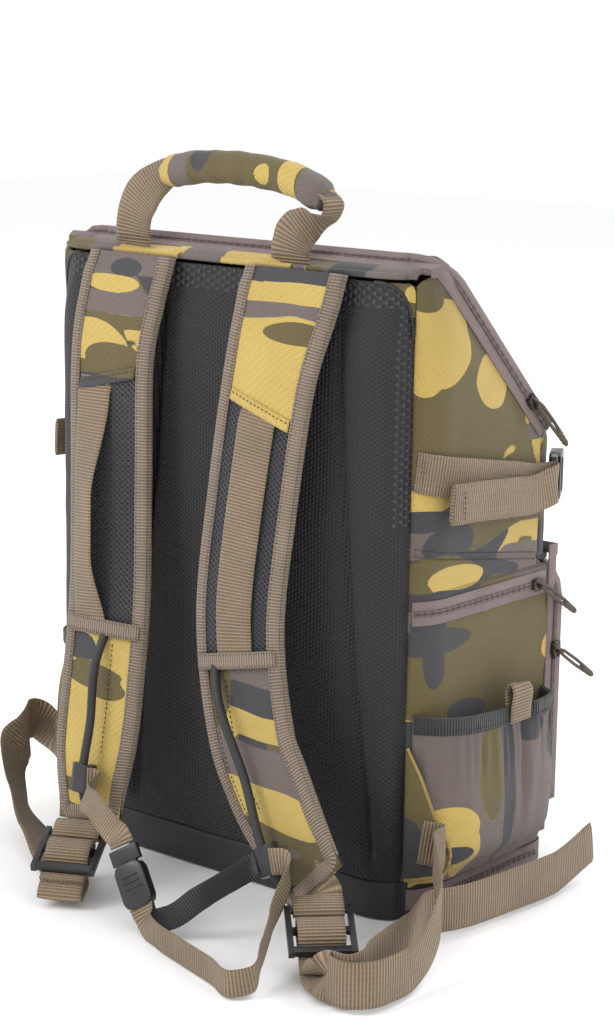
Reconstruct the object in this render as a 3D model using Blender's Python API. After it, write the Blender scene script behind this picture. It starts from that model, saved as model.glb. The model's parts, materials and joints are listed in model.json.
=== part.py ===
"""Tackle backpack: every sewn panel, strap and fitting as its own solid.

Metres, +Z up, base resting on z = 0, origin under the middle of the base.
X runs across the bag, -Y is the side worn against the back, +Y is the front.
"""
import math

import bmesh
import bpy
from mathutils import Matrix, Vector

# Driving sizes of the bag
GAP = 0.0003
HALF_WIDTH = 0.184
BACK_Y = -0.090
FRONT_Y = 0.094
PANEL = 0.004
BASE_HEIGHT = 0.030
BACK_TOP_Z = 0.478
RIDGE_Y = -0.060
RIDGE_Z = 0.486
HINGE_Z = 0.335
SHELF_Z = 0.250
FRONT_RADIUS = 0.025
LID_CROWN = 0.016
POCKET_DEPTH = 0.031
POCKET_HINGE_Z = 0.0345
POCKET_TOP_Z = 0.2495

# Zippers
TAPE = 0.0012
TAPE_WIDTH = 0.010
SLIDER_LENGTH = 0.014
SLIDER_WIDTH = 0.010
SLIDER_HEIGHT = 0.004
PULL_LENGTH = 0.052

# Side pockets and side straps
SIDE_POCKET_DEPTH = 0.022
SIDE_POCKET_TOP_BACK = 0.158
SIDE_POCKET_TOP_FRONT = 0.149
BINDING_HEIGHT = 0.011
SIDE_STRAP_WIDTH = 0.030
SIDE_STRAP_BACK_Z = 0.340
SIDE_STRAP_FRONT_Z = 0.316
BUCKLE_TURN = math.radians(30)

# Webbing and shoulder straps
WEBBING = 0.0016
SHOULDER_WEBBING_WIDTH = 0.038
PAD_WIDTH = 0.082
PAD_THICKNESS = 0.012
RAIL_RADIUS = 0.003
RAIL_STANDOFF = 0.008
STERNUM_WIDTH = 0.020

# Grab handle
HANDLE_HALF_SPACING = 0.0775
HANDLE_LEAN = 0.012
HANDLE_Y = -0.078
GRIP_RADIUS = 0.013
GRIP_TOP_Z = 0.545

UP = Vector((0, 0, 1))
OUT_OF_BACK = Vector((0, -1, 0))
SIDES = (("left", -1), ("right", 1))


# ---------------------------------------------------------------- helpers

def clear_scene():
    for item in list(bpy.data.objects):
        bpy.data.objects.remove(item, do_unlink=True)


def make_material(name, colour, roughness, metallic=0.0):
    material = bpy.data.materials.new(name)
    material.use_nodes = True
    shader = material.node_tree.nodes["Principled BSDF"]
    shader.inputs["Base Color"].default_value = (*colour, 1.0)
    shader.inputs["Roughness"].default_value = roughness
    shader.inputs["Metallic"].default_value = metallic
    return material


def add_solid(name, points, faces, material, pivot=(0, 0, 0)):
    """A closed mesh from world points, with its origin on the pivot."""
    pivot = Vector(pivot)
    mesh = bpy.data.meshes.new(name)
    mesh.from_pydata([Vector(p) - pivot for p in points], [], faces)
    work = bmesh.new()
    work.from_mesh(mesh)
    bmesh.ops.recalc_face_normals(work, faces=work.faces)
    work.to_mesh(mesh)
    work.free()
    mesh.materials.append(material)
    item = bpy.data.objects.new(name, mesh)
    item.location = pivot
    bpy.context.scene.collection.objects.link(item)
    return item


def loft(name, rings, material, pivot=(0, 0, 0)):
    """Skin a run of rings with equal point counts and cap both ends."""
    count = len(rings[0])
    points = [p for ring in rings for p in ring]
    faces = [list(range(count)), list(range(len(points) - count, len(points)))]
    for r in range(len(rings) - 1):
        for i in range(count):
            j = (i + 1) % count
            faces.append((r * count + i, r * count + j, (r + 1) * count + j, (r + 1) * count + i))
    return add_solid(name, points, faces, material, pivot)


def placed(points, matrix):
    return [matrix @ Vector(p) for p in points]


def axes_matrix(origin, x_axis, y_axis, z_axis):
    rotation = Matrix((x_axis, y_axis, z_axis)).transposed().to_4x4()
    return Matrix.Translation(Vector(origin)) @ rotation


def prism(name, outline, low, high, material, matrix=Matrix(), pivot=(0, 0, 0)):
    """A flat outline in local XY carried from local z = low to z = high."""
    rings = [placed([(x, y, z) for x, y in outline], matrix) for z in (low, high)]
    return loft(name, rings, material, pivot)


def side_prism(name, outline, x_low, x_high, material, pivot=(0, 0, 0)):
    """An outline given as (y, z) pairs, carried along X."""
    rings = [[(x, y, z) for y, z in outline] for x in (x_low, x_high)]
    return loft(name, rings, material, pivot)


def rounded_rectangle(x_low, x_high, y_low, y_high, radius, steps=4):
    corners = [(x_high - radius, y_low + radius, -90), (x_high - radius, y_high - radius, 0),
               (x_low + radius, y_high - radius, 90), (x_low + radius, y_low + radius, 180)]
    outline = []
    for cx, cy, start in corners:
        for step in range(steps + 1):
            turn = math.radians(start + 90 * step / steps)
            outline.append((cx + radius * math.cos(turn), cy + radius * math.sin(turn)))
    return outline


def inset(outline, distance):
    """Move every edge of a convex anticlockwise outline inwards."""
    moved = []
    count = len(outline)
    for i in range(count):
        before = Vector(outline[i]) - Vector(outline[i - 1])
        after = Vector(outline[(i + 1) % count]) - Vector(outline[i])
        n1 = Vector((-before.y, before.x)).normalized()
        n2 = Vector((-after.y, after.x)).normalized()
        mitre = (n1 + n2) / (1 + n1.dot(n2))
        moved.append(tuple(Vector(outline[i]) + mitre * distance))
    return moved


def bowl(name, outline, wall, floor, low, top, material):
    """An open-topped shell; top(y) gives the rim height."""
    inner = inset(outline, wall)
    rings = [[(x, y, low) for x, y in outline], [(x, y, top(y)) for x, y in outline],
             [(x, y, top(y)) for x, y in inner], [(x, y, low + floor) for x, y in inner]]
    return loft(name, rings, material)


def wall_strip(name, path, thickness, low, high, material, matrix=Matrix(), pivot=(0, 0, 0)):
    """A thin wall standing on an open plan path; low(y) and high(y) are its edges."""
    rings = []
    for i, point in enumerate(path):
        before = Vector(path[max(i - 1, 0)])
        after = Vector(path[min(i + 1, len(path) - 1)])
        along = (after - before).normalized()
        out = Vector((along.y, -along.x))
        near = Vector(point)
        far = near + out * thickness
        ring = [(near.x, near.y, low(near.y)), (far.x, far.y, low(near.y)),
                (far.x, far.y, high(near.y)), (near.x, near.y, high(near.y))]
        rings.append(placed(ring, matrix))
    return loft(name, rings, material, pivot)


def tangents(points):
    last = len(points) - 1
    return [(points[min(i + 1, last)] - points[max(i - 1, 0)]).normalized()
            for i in range(last + 1)]


def smooth_path(points, per_span=3):
    """Catmull-Rom samples through control points of any dimension."""
    points = [Vector(p) for p in points]
    ends = [2 * points[0] - points[1]] + points + [2 * points[-1] - points[-2]]
    samples = []
    for i in range(1, len(ends) - 2):
        a, b, c, d = ends[i - 1:i + 3]
        for step in range(per_span):
            t = step / per_span
            samples.append(0.5 * (2 * b + (c - a) * t + (2 * a - 5 * b + 4 * c - d) * t ** 2
                                  + (3 * b - a - 3 * c + d) * t ** 3))
    samples.append(points[-1])
    return samples


def strip_rings(points, side_directions, width, thickness):
    """Flat rectangular rings; the widths may change along the strip."""
    rings = []
    widths = width if isinstance(width, list) else [width] * len(points)
    for point, along, side, wide in zip(points, tangents(points), side_directions, widths):
        normal = along.cross(side).normalized()
        across = normal.cross(along).normalized()
        half = across * wide / 2
        rise = normal * thickness / 2
        rings.append([point - half - rise, point + half - rise, point + half + rise, point - half + rise])
    return rings


def turned_sides(first, last, count):
    """Width directions that turn evenly from one to the other."""
    return [Vector(first).lerp(Vector(last), i / (count - 1)) for i in range(count)]


def leaning_sides(points, leans):
    """Width directions from lying flat (0) to standing on edge (90 degrees)."""
    sides = []
    for along, lean in zip(tangents(points), leans):
        level = along.cross(UP).normalized()
        turn = math.radians(lean)
        sides.append(level * math.cos(turn) + UP * math.sin(turn))
    return sides


def ribbon(name, points, side_directions, width, thickness, material, pivot=(0, 0, 0)):
    points = [Vector(p) for p in points]
    sides = [Vector(s) for s in side_directions]
    return loft(name, strip_rings(points, sides, width, thickness), material, pivot)


def tube(name, points, radius, material, pivot=(0, 0, 0), segments=8, reference=UP):
    points = [Vector(p) for p in points]
    radii = radius if isinstance(radius, list) else [radius] * len(points)
    rings = []
    for point, along, size in zip(points, tangents(points), radii):
        side = along.cross(reference).normalized()
        rise = side.cross(along)
        turns = [2 * math.pi * k / segments for k in range(segments)]
        rings.append([point + side * size * math.cos(t) + rise * size * math.sin(t) for t in turns])
    item = loft(name, rings, material, pivot)
    for face in item.data.polygons:
        face.use_smooth = len(face.vertices) == 4
    return item


def joined(name, items):
    """Boolean union of overlapping solids into the first one."""
    first = items[0]
    for other in items[1:]:
        cut = first.modifiers.new("join", "BOOLEAN")
        cut.operation = "UNION"
        cut.solver = "EXACT"
        cut.object = other
    bpy.context.view_layer.update()
    evaluated = first.evaluated_get(bpy.context.evaluated_depsgraph_get())
    mesh = bpy.data.meshes.new_from_object(evaluated)
    first.modifiers.clear()
    first.data = mesh
    first.name = name
    for other in items[1:]:
        bpy.data.objects.remove(other, do_unlink=True)
    return first


def slope_z(y):
    """Height of the plane the lid closes on."""
    return HINGE_Z + (FRONT_Y - y) * (RIDGE_Z - HINGE_Z) / (FRONT_Y - RIDGE_Y)


def mirrored(outline, sign):
    """An outline for the left side, kept anticlockwise."""
    if sign > 0:
        return outline
    return [(-x, y) for x, y in reversed(outline)]


# --------------------------------------------------------- panels of the bag

def build_back(fabric, mesh_fabric, foam, board):
    outline = rounded_rectangle(-HALF_WIDTH + GAP, HALF_WIDTH - GAP, BASE_HEIGHT + GAP, BACK_TOP_Z - PANEL, 0.030)
    facing = axes_matrix((0, BACK_Y, 0), (-1, 0, 0), (0, 0, 1), (0, 1, 0))
    prism("back_mesh_panel", outline, 0, 0.003, mesh_fabric, facing)
    foam_outline = rounded_rectangle(-0.172, 0.172, 0.040, 0.465, 0.020)
    prism("back_foam", foam_outline, 0.0033, 0.0113, foam, facing)
    inside = HALF_WIDTH - PANEL - GAP
    liner = rounded_rectangle(-inside, inside, BASE_HEIGHT + GAP, BACK_TOP_Z - PANEL - 0.002, 0.010)
    prism("back_liner", liner, 0.0116, 0.0146, fabric, facing)
    board_outline = rounded_rectangle(-0.165, 0.165, 0.036, 0.455, 0.015)
    prism("back_stiffener", board_outline, 0.0149, 0.0169, board, facing)


def build_base(material, band_material):
    outline = rounded_rectangle(-HALF_WIDTH, HALF_WIDTH, BACK_Y, FRONT_Y - GAP, 0.014)
    bowl("base_tray", outline, 0.004, 0.008, 0, lambda y: BASE_HEIGHT, material)
    around = inset(outline, -GAP)
    start = around.index(min(around, key=lambda p: (abs(p[0] - HALF_WIDTH) > 0.002, p[1])))
    path = (around[start:] + around[:start])[:-4]
    wall_strip("base_zipper_band", path, TAPE, lambda y: 0.008, lambda y: 0.024, band_material)


def build_side_panels(material):
    edge = FRONT_Y - FRONT_RADIUS - GAP
    outline = [(BACK_Y + 0.003 + GAP, BASE_HEIGHT + GAP), (FRONT_Y - GAP, BASE_HEIGHT + GAP),
               (FRONT_Y - GAP, SHELF_Z - GAP), (edge, SHELF_Z - GAP), (edge, slope_z(edge) - GAP),
               (RIDGE_Y, RIDGE_Z - PANEL - GAP), (BACK_Y + 0.003 + GAP, BACK_TOP_Z - PANEL)]
    for side, sign in SIDES:
        side_prism(f"side_panel_{side}", outline, sign * HALF_WIDTH, sign * (HALF_WIDTH - PANEL), material)


def build_shelf(material):
    inside = HALF_WIDTH - PANEL - GAP
    outline = rounded_rectangle(-inside, inside, BACK_Y + 0.0172, FRONT_Y - GAP, 0.006, 2)
    prism("compartment_shelf", outline, SHELF_Z + GAP, SHELF_Z + 0.005, material)


def front_plan(offset=0.0):
    """Plan line of the upper front from the right side round to the left."""
    radius = FRONT_RADIUS + offset
    cx = HALF_WIDTH - FRONT_RADIUS
    cy = FRONT_Y - FRONT_RADIUS
    right = [(cx + radius * math.cos(math.radians(t)), cy + radius * math.sin(math.radians(t)))
             for t in range(0, 91, 18)]
    return right + [(-x, y) for x, y in reversed(right)]


def build_upper_front(material):
    low = SHELF_Z + 0.005 + GAP
    path = front_plan(-PANEL)
    wall_strip("front_band", path, PANEL, lambda y: low, lambda y: slope_z(y + PANEL) - GAP, material)


def build_top_strip(material):
    rise = RIDGE_Z - PANEL
    outline = [(BACK_Y, BACK_TOP_Z - PANEL + GAP), (RIDGE_Y - GAP, rise + GAP), (RIDGE_Y - GAP, RIDGE_Z),
               (BACK_Y, BACK_TOP_Z + GAP)]
    side_prism("top_strip", outline, -HALF_WIDTH, HALF_WIDTH, material)


# ----------------------------------------------------- lid and front pocket

def lid_frame():
    """Local Y climbs the slope from the hinge, local Z points out of the bag."""
    climb = Vector((0, RIDGE_Y - FRONT_Y, RIDGE_Z - HINGE_Z)).normalized()
    across = Vector((-1, 0, 0))
    return axes_matrix((0, FRONT_Y, HINGE_Z), across, climb, across.cross(climb))


def pocket_frame():
    across = Vector((-1, 0, 0))
    return axes_matrix((0, FRONT_Y, POCKET_HINGE_Z), across, UP, across.cross(UP))


def rounded_cap_rings(outline, low, skirt, high, matrix):
    """Rings that rise straight up the skirt and then roll over to the top."""
    radius = high - skirt
    rings = [placed([(x, y, low) for x, y in outline], matrix)]
    for step in range(4):
        turn = math.radians(80 * step / 3)
        inner = inset(outline, radius * (1 - math.cos(turn)))
        rings.append(placed([(x, y, skirt + radius * math.sin(turn)) for x, y in inner], matrix))
    return rings


def build_lid(fabric, tape):
    frame = lid_frame()
    hinge = frame.translation
    length = math.hypot(FRONT_Y - RIDGE_Y, RIDGE_Z - HINGE_Z)
    outline = rounded_rectangle(-HALF_WIDTH, HALF_WIDTH, 0, length, FRONT_RADIUS)
    loft("lid_panel", rounded_cap_rings(outline, GAP, 0.008, LID_CROWN, frame), fabric, hinge)
    path = tape_path(length, FRONT_RADIUS, 0.026)
    wall_strip("lid_zipper_lid_tape", path, TAPE, lambda y: 0.0005, lambda y: 0.0078, tape, frame, hinge)
    build_lid_body_tape(frame, length, tape)


def tape_path(length, radius, start):
    """Up one side, over the far edge and down the other, just outside the rim."""
    outline = rounded_rectangle(-HALF_WIDTH - GAP, HALF_WIDTH + GAP, -1, length + GAP, radius)
    count = len(outline) // 4
    arc = outline[count:3 * count]
    return [(HALF_WIDTH + GAP, start)] + arc + [(-HALF_WIDTH - GAP, start)]


def build_lid_body_tape(frame, length, tape):
    reach = 0.030
    legs = []
    for side, sign in SIDES:
        low, high = sorted((sign * (HALF_WIDTH + GAP), sign * (HALF_WIDTH + GAP + TAPE)))
        outline = [(low, reach), (high, reach), (high, length), (low, length)]
        legs.append(prism("leg", outline, -TAPE_WIDTH, -GAP, tape, frame))
    run = RIDGE_Y - BACK_Y
    rise = (RIDGE_Z - BACK_TOP_Z) / run
    y_back = RIDGE_Y - TAPE_WIDTH - 0.002
    z_back = RIDGE_Z - rise * (RIDGE_Y - y_back)
    y_near = RIDGE_Y - 0.0018
    strip = [(y_back, z_back + GAP), (y_near, RIDGE_Z + GAP), (y_near, RIDGE_Z + TAPE), (y_back, z_back + TAPE)]
    outer = HALF_WIDTH + GAP + TAPE
    corners = []
    for side, sign in SIDES:
        block = [(y_back, RIDGE_Z - 0.008), (RIDGE_Y + 0.002, RIDGE_Z - 0.008), (RIDGE_Y + 0.001, RIDGE_Z - 0.003),
                 (y_near, RIDGE_Z - GAP), (y_near, RIDGE_Z + TAPE), (y_back, z_back + TAPE)]
        corners.append(side_prism("corner", block, sign * (outer - TAPE), sign * outer, tape))
    across = side_prism("across", strip, -outer, outer, tape)
    joined("lid_zipper_body_tape", [across] + corners + legs)


def build_front_pocket(fabric, tape):
    frame = pocket_frame()
    hinge = frame.translation
    height = POCKET_TOP_Z - POCKET_HINGE_Z
    outline = rounded_rectangle(-HALF_WIDTH, HALF_WIDTH, 0, height, 0.030)
    outer = rounded_cap_rings(outline, GAP, 0.012, POCKET_DEPTH, frame)
    wall = 0.003
    hollow = [placed([(x, y, z) for x, y in inset(outline, step)], frame)
              for step, z in ((0.016, POCKET_DEPTH - wall), (wall + 0.002, 0.014), (wall, GAP))]
    loft("front_pocket", hollow + outer, fabric, hinge)
    path = tape_path(height, 0.030, 0.020)
    wall_strip("pocket_zipper_pocket_tape", path, TAPE, lambda y: 0.0005, lambda y: 0.0100, tape, frame, hinge)
    build_pocket_body_tape(tape)


def build_pocket_body_tape(tape):
    outer = HALF_WIDTH + GAP + TAPE
    top = POCKET_TOP_Z + 0.013
    low = POCKET_HINGE_Z + 0.020
    parts = []
    for side, sign in SIDES:
        step = top - TAPE_WIDTH + 0.001
        leg = [(FRONT_Y - TAPE_WIDTH, low), (FRONT_Y - GAP, low), (FRONT_Y - GAP, step),
               (FRONT_Y + TAPE, step), (FRONT_Y + TAPE, top), (FRONT_Y - TAPE_WIDTH, top)]
        parts.append(side_prism("leg", leg, sign * (outer - TAPE), sign * outer, tape))
    bar = [(FRONT_Y + GAP, top - TAPE_WIDTH + 0.001), (FRONT_Y + TAPE - 0.0001, top - TAPE_WIDTH + 0.001),
           (FRONT_Y + TAPE - 0.0001, top - 0.0001), (FRONT_Y + GAP, top - 0.0001)]
    across = side_prism("across", bar, -outer + TAPE / 2, outer - TAPE / 2, tape)
    joined("pocket_zipper_body_tape", [across] + parts)


# -------------------------------------------------------------- zipper sliders

def slider_and_pull(name, centre, travel, pull_along, body_metal, cord):
    """A slider on a right-hand zipper and the cord pull that swings from it."""
    out = Vector((1, 0, 0))
    travel = travel.normalized()
    frame = axes_matrix(centre, travel, out.cross(travel), out)
    half_l = SLIDER_LENGTH / 2
    half_w = SLIDER_WIDTH / 2
    outline = [(-half_l, -half_w * 0.6), (-half_l * 0.3, -half_w), (half_l, -half_w * 0.8),
               (half_l, half_w * 0.8), (-half_l * 0.3, half_w), (-half_l, half_w * 0.6)]
    prism(f"{name}_slider", outline, 0, SLIDER_HEIGHT, body_metal, frame, centre)
    root = Vector(centre) + out * (SLIDER_HEIGHT + GAP + 0.0025)
    reach = [0.0, 0.006, 0.016, 0.030, 0.034, PULL_LENGTH]
    radii = [0.0018, 0.0024, 0.0022, 0.0022, 0.0030, 0.0026]
    along = pull_along.normalized()
    points = [root + along * r + out * 0.05 * r for r in reach]
    tube(f"{name}_pull", points, radii, cord, root, 8, out)


def build_sliders(body_metal, cord):
    frame = lid_frame()
    surface = HALF_WIDTH + 2 * GAP + TAPE
    climb = frame.to_3x3() @ Vector((0, 1, 0))
    centre = frame @ Vector((0, 0.060, 0))
    centre.x = surface
    slider_and_pull("lid_zip", centre, climb, -climb, body_metal, cord)
    forward_down = Vector((0, 0.85, -0.53))
    slider_and_pull("pocket_zip", Vector((surface, FRONT_Y, 0.178)), UP, forward_down, body_metal, cord)
    slider_and_pull("side_zip", Vector((surface, 0.066, 0.235)), Vector((0, 1, 0)), forward_down, body_metal, cord)


def build_side_zippers(tape):
    for side, sign in SIDES:
        outline = [(BACK_Y + 0.006, 0.226), (FRONT_Y - 0.014, 0.226), (FRONT_Y - 0.014, 0.244),
                   (BACK_Y + 0.006, 0.244)]
        inner = sign * (HALF_WIDTH + GAP)
        side_prism(f"side_zipper_{side}", outline, inner, inner + sign * TAPE, tape)


# ---------------------------------------------------------------- side pockets

def pocket_top(y):
    share = (y - BACK_Y) / (FRONT_Y - BACK_Y)
    return SIDE_POCKET_TOP_BACK + share * (SIDE_POCKET_TOP_FRONT - SIDE_POCKET_TOP_BACK)


def side_pocket_outline():
    near = HALF_WIDTH + GAP
    far = HALF_WIDTH + SIDE_POCKET_DEPTH
    return [(near, -0.080), (near + 0.014, -0.056), (far - 0.002, -0.042), (far, -0.020), (far, 0.030),
            (far - 0.003, 0.060), (far - 0.010, 0.076), (near, 0.082)]


def build_side_pockets(fabric, elastic):
    for side, sign in SIDES:
        outline = mirrored(side_pocket_outline(), sign)
        bowl(f"side_pocket_{side}", outline, 0.002, 0.003, BASE_HEIGHT + GAP, pocket_top, fabric)
        path = inset(side_pocket_outline(), -GAP)[1:-1]
        if sign < 0:
            path = [(-x, y) for x, y in reversed(path)]
        wall_strip(f"pocket_binding_{side}", path, 0.0015, lambda y: pocket_top(y) - BINDING_HEIGHT,
                   lambda y: pocket_top(y) + 0.001, elastic)


# --------------------------------------------------- wings and lower webbing

def wing_frame(sign):
    """Local X runs forward along the wing, local Y up, local Z outwards."""
    forward = Vector((sign * 0.5, 0.866, 0)).normalized()
    outward = Vector((sign * 0.866, -0.5, 0)).normalized()
    return axes_matrix((sign * (HALF_WIDTH + 0.0025), BACK_Y - 0.0005, 0), forward, UP, outward)


def build_wings(fabric):
    for side, sign in SIDES:
        outline = [(0, 0.034), (0.030, 0.040), (0.034, 0.052), (0.010, 0.118), (0, 0.136)]
        prism(f"strap_wing_{side}", outline, 0, 0.004, fabric, wing_frame(sign))


def lock_points(frame, pairs):
    return [frame @ Vector((along, 0, out)) for along, out in pairs]


def webbing_routes():
    """(x, y, z, lean) from the wing to the lock, and from the lock to the hemmed end."""
    floor = (SHOULDER_WEBBING_WIDTH - 0.004) / 2 + 0.0015
    right_load = [(0.228, -0.104, 0.066, 90), (0.250, -0.132, 0.050, 90), (0.262, -0.168, 0.026, 90),
                  (0.265, -0.2035, floor, 90), (0.262, -0.224, floor, 90), (0.2475, -0.238, floor, 90),
                  (0.232, -0.235, floor, 90), (0.219, -0.221, 0.0145, 45)]
    right_tail = [(0.2215, -0.223, 0.0165, -135), (0.2315, -0.228, floor, -90), (0.242, -0.226, floor, -90),
                  (0.244, -0.214, floor, -90), (0.2374, -0.198, floor, -90), (0.230, -0.165, floor, -90),
                  (0.224, -0.120, floor, -90), (0.223, -0.075, floor, -90), (0.228, -0.020, floor, -90),
                  (0.232, 0.035, floor + 0.002, -90), (0.229, 0.092, floor + 0.012, -90)]
    left_load = [(-0.219, -0.076, 0.077, 90), (-0.223, -0.095, 0.080, 90), (-0.210, -0.119, 0.068, 80),
                 (-0.178, -0.136, 0.038, 60), (-0.140, -0.150, 0.016, 30), (-0.098, -0.168, 0.005, 0)]
    return {"right": (right_load, right_tail), "left": (left_load, [])}


def build_lower_webbing(locks, webbing):
    """Wing, slack on the floor, round the middle bar of the ladder lock, tail."""
    width = SHOULDER_WEBBING_WIDTH - 0.004
    for side, sign in SIDES:
        load, tail = webbing_routes()[side]
        wing = wing_frame(sign)
        lock = locks[side]
        across = (lock.to_3x3() @ Vector((0, 1, 0))).normalized()
        start = [wing @ Vector((0.012, 0.066, 0.0055)), wing @ Vector((0.026, 0.064, 0.0058))]
        bends = [(0.052, -0.0100), (0.040, -0.0078), (0.014, -0.0068)]
        if side == "left":
            bends = [(0.048, -0.0200), (0.0560, -0.0185), (0.0585, -0.0155), (0.0560, -0.0125)] + bends[1:]
        over = [(0.0092, -0.0030), (0.0092, 0.0020), (0.0130, 0.0046), (0.0262, 0.0046), (0.0312, 0.0015),
                (0.0335, -0.0030), (0.0440, -0.0052)]
        over = over + [(0.0540, -0.0072)] if tail else over + [(0.0490, -0.0058)]
        through = lock_points(lock, bends + over)
        load_points = start + [Vector(p[:3]) for p in load]
        tail_points = [Vector(p[:3]) for p in tail]
        points = load_points + through + tail_points
        leans = [90, 90] + [p[3] for p in load] + [0] * len(through) + [p[3] for p in tail]
        sides = leaning_sides(points, leans)
        for i in range(len(load_points), len(load_points) + len(through)):
            sides[i] = across
        ribbon(f"lower_webbing_{side}", points, sides, width, WEBBING, webbing)


# -------------------------------------------------------------- side straps

def buckle_frame(sign):
    """Local X runs forward round the corner, local Y up, local Z outwards."""
    forward = Vector((-sign * math.sin(BUCKLE_TURN), math.cos(BUCKLE_TURN), 0))
    outward = Vector((sign * math.cos(BUCKLE_TURN), math.sin(BUCKLE_TURN), 0))
    return axes_matrix((sign * 0.1935, 0.066, SIDE_STRAP_FRONT_Z), forward, UP, outward)


def build_side_straps(webbing, plastic):
    for side, sign in SIDES:
        frame = buckle_frame(sign)
        plan = [(0.1853, -0.084), (0.1895, -0.060), (0.1925, -0.020), (0.1930, 0.020), (0.1925, 0.058)]
        out = [(sign * x, y) for x, y in plan]
        fall = (SIDE_STRAP_FRONT_Z - SIDE_STRAP_BACK_Z) / (plan[-1][1] - plan[0][1])
        strand = [Vector((x, y, SIDE_STRAP_BACK_Z + fall * (y - plan[0][1]))) for x, y in out]
        turn = [frame @ Vector((0.0022, 0, 0.0022)), frame @ Vector((0.0022, 0, 0.0055))]
        back = [Vector((sign * 0.1965, 0.050, SIDE_STRAP_FRONT_Z - 0.003)),
                Vector((sign * 0.1970, 0.000, SIDE_STRAP_FRONT_Z)),
                Vector((sign * 0.1960, -0.050, SIDE_STRAP_FRONT_Z + 0.004))]
        ribbon(f"side_strap_{side}", strand + turn + back, [UP] * 10, SIDE_STRAP_WIDTH, WEBBING, webbing)
        build_side_release_buckle(f"side_buckle_{{}}_{side}", frame, 0.036, 0.0044, plastic)


def build_side_release_buckle(name, frame, width, start, plastic):
    """Male half with two prongs inside a female half, both along local X."""
    half = width / 2
    pivot = frame.translation
    male = [(start, -half), (start + 0.012, -half), (start + 0.012, -half + 0.004),
            (start + 0.030, -half + 0.006), (start + 0.030, -half + 0.009), (start + 0.012, -half + 0.010)]
    male = male + [(x, -y) for x, y in reversed(male)]
    prism(name.format("male"), male, 0.0010, 0.0060, plastic, frame, pivot)
    low = start + 0.0125
    shell = [prism("shell", rounded_rectangle(low, low + 0.034, -half, half, 0.006, 2), -0.0012, 0.0082,
                   plastic, frame)]
    hollow = prism("hollow", [(low - 0.01, -half + 0.0028), (low + 0.022, -half + 0.0028),
                              (low + 0.022, half - 0.0028), (low - 0.01, half - 0.0028)],
                   0.0004, 0.0066, plastic, frame)
    cut = shell[0].modifiers.new("cut", "BOOLEAN")
    cut.operation = "DIFFERENCE"
    cut.solver = "EXACT"
    cut.object = hollow
    bpy.context.view_layer.update()
    evaluated = shell[0].evaluated_get(bpy.context.evaluated_depsgraph_get())
    mesh = bpy.data.meshes.new_from_object(evaluated)
    shell[0].modifiers.clear()
    shell[0].data = mesh
    shell[0].name = name.format("female")
    bpy.data.objects.remove(hollow, do_unlink=True)


# --------------------------------------------------------------- grab handle

def build_handle(webbing, fabric):
    pivot = Vector((0, HANDLE_Y, RIDGE_Z + 0.001))
    side_direction = Vector((1, 0, 0))
    for side, sign in SIDES:
        x = sign * HANDLE_HALF_SPACING
        foot = x - HANDLE_LEAN
        points = [(foot, HANDLE_Y, RIDGE_Z - 0.0012), (foot, HANDLE_Y, 0.490),
                  (foot + HANDLE_LEAN * 0.6, HANDLE_Y - 0.001, 0.502), (x, HANDLE_Y - 0.001, 0.5145)]
        ribbon(f"handle_leg_{side}", points, [side_direction] * 4, 0.036, 0.004, webbing, pivot)
    arch = [(-1.13, 0.0190), (-0.94, 0.0100), (-0.64, 0.0036), (-0.3, 0.0008), (0, 0)]
    arch = arch + [(-x, drop) for x, drop in reversed(arch[:-1])]
    points = [(x * HANDLE_HALF_SPACING, HANDLE_Y - 0.001, GRIP_TOP_Z - drop) for x, drop in arch]
    radii = [0.0105] + [GRIP_RADIUS] * (len(points) - 2) + [0.0105]
    tube("handle_grip", points, radii, fabric, pivot, 12, Vector((0, 1, 0)))


# ------------------------------------------------------------ shoulder straps

def pad_controls(side):
    """(x, distance in front of the back panel, z) down the middle of a pad."""
    if side == "left":
        return [(-0.083, 0.0085, 0.472), (-0.086, 0.014, 0.450), (-0.090, 0.022, 0.400),
                (-0.086, 0.028, 0.310), (-0.078, 0.038, 0.220), (-0.077, 0.047, 0.150),
                (-0.078, 0.053, 0.105), (-0.0695, 0.070, 0.044)]
    return [(0.079, 0.0085, 0.472), (0.076, 0.014, 0.450), (0.068, 0.022, 0.400),
            (0.058, 0.028, 0.310), (0.056, 0.038, 0.220), (0.074, 0.047, 0.145),
            (0.100, 0.055, 0.105), (0.160, 0.071, 0.046)]


def pad_frames(side, per_span=3):
    """(centre, along, across, outward) at samples down the pad."""
    controls = [(x, BACK_Y - p, z) for x, p, z in pad_controls(side)]
    points = smooth_path(controls, per_span)
    frames = []
    for point, along in zip(points, tangents(points)):
        outward = (OUT_OF_BACK - along * OUT_OF_BACK.dot(along)).normalized()
        frames.append((point, along, outward.cross(along).normalized(), outward))
    return frames


def frame_at(frames, height):
    """Interpolated centre and axes where the pad crosses a height."""
    for above, below in zip(frames, frames[1:]):
        if below[0].z <= height:
            share = (above[0].z - height) / (above[0].z - below[0].z)
            return [a.lerp(b, share) for a, b in zip(above, below)]
    return frames[-1]


def build_pad(side, frames, fabric, pivot):
    half = PAD_THICKNESS / 2
    rings = []
    for i, (point, along, across, outward) in enumerate(frames):
        narrow = 0.8 if i == len(frames) - 1 else 1.0
        wide = PAD_WIDTH / 2 * narrow
        section = [(-wide, -half * 0.4), (-wide + 0.006, -half), (wide - 0.006, -half), (wide, -half * 0.4),
                   (wide, half * 0.4), (wide - 0.006, half), (-wide + 0.006, half), (-wide, half * 0.4)]
        rings.append([point + across * a + outward * b for a, b in section])
    loft(f"shoulder_pad_{side}", rings, fabric, pivot)


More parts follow.
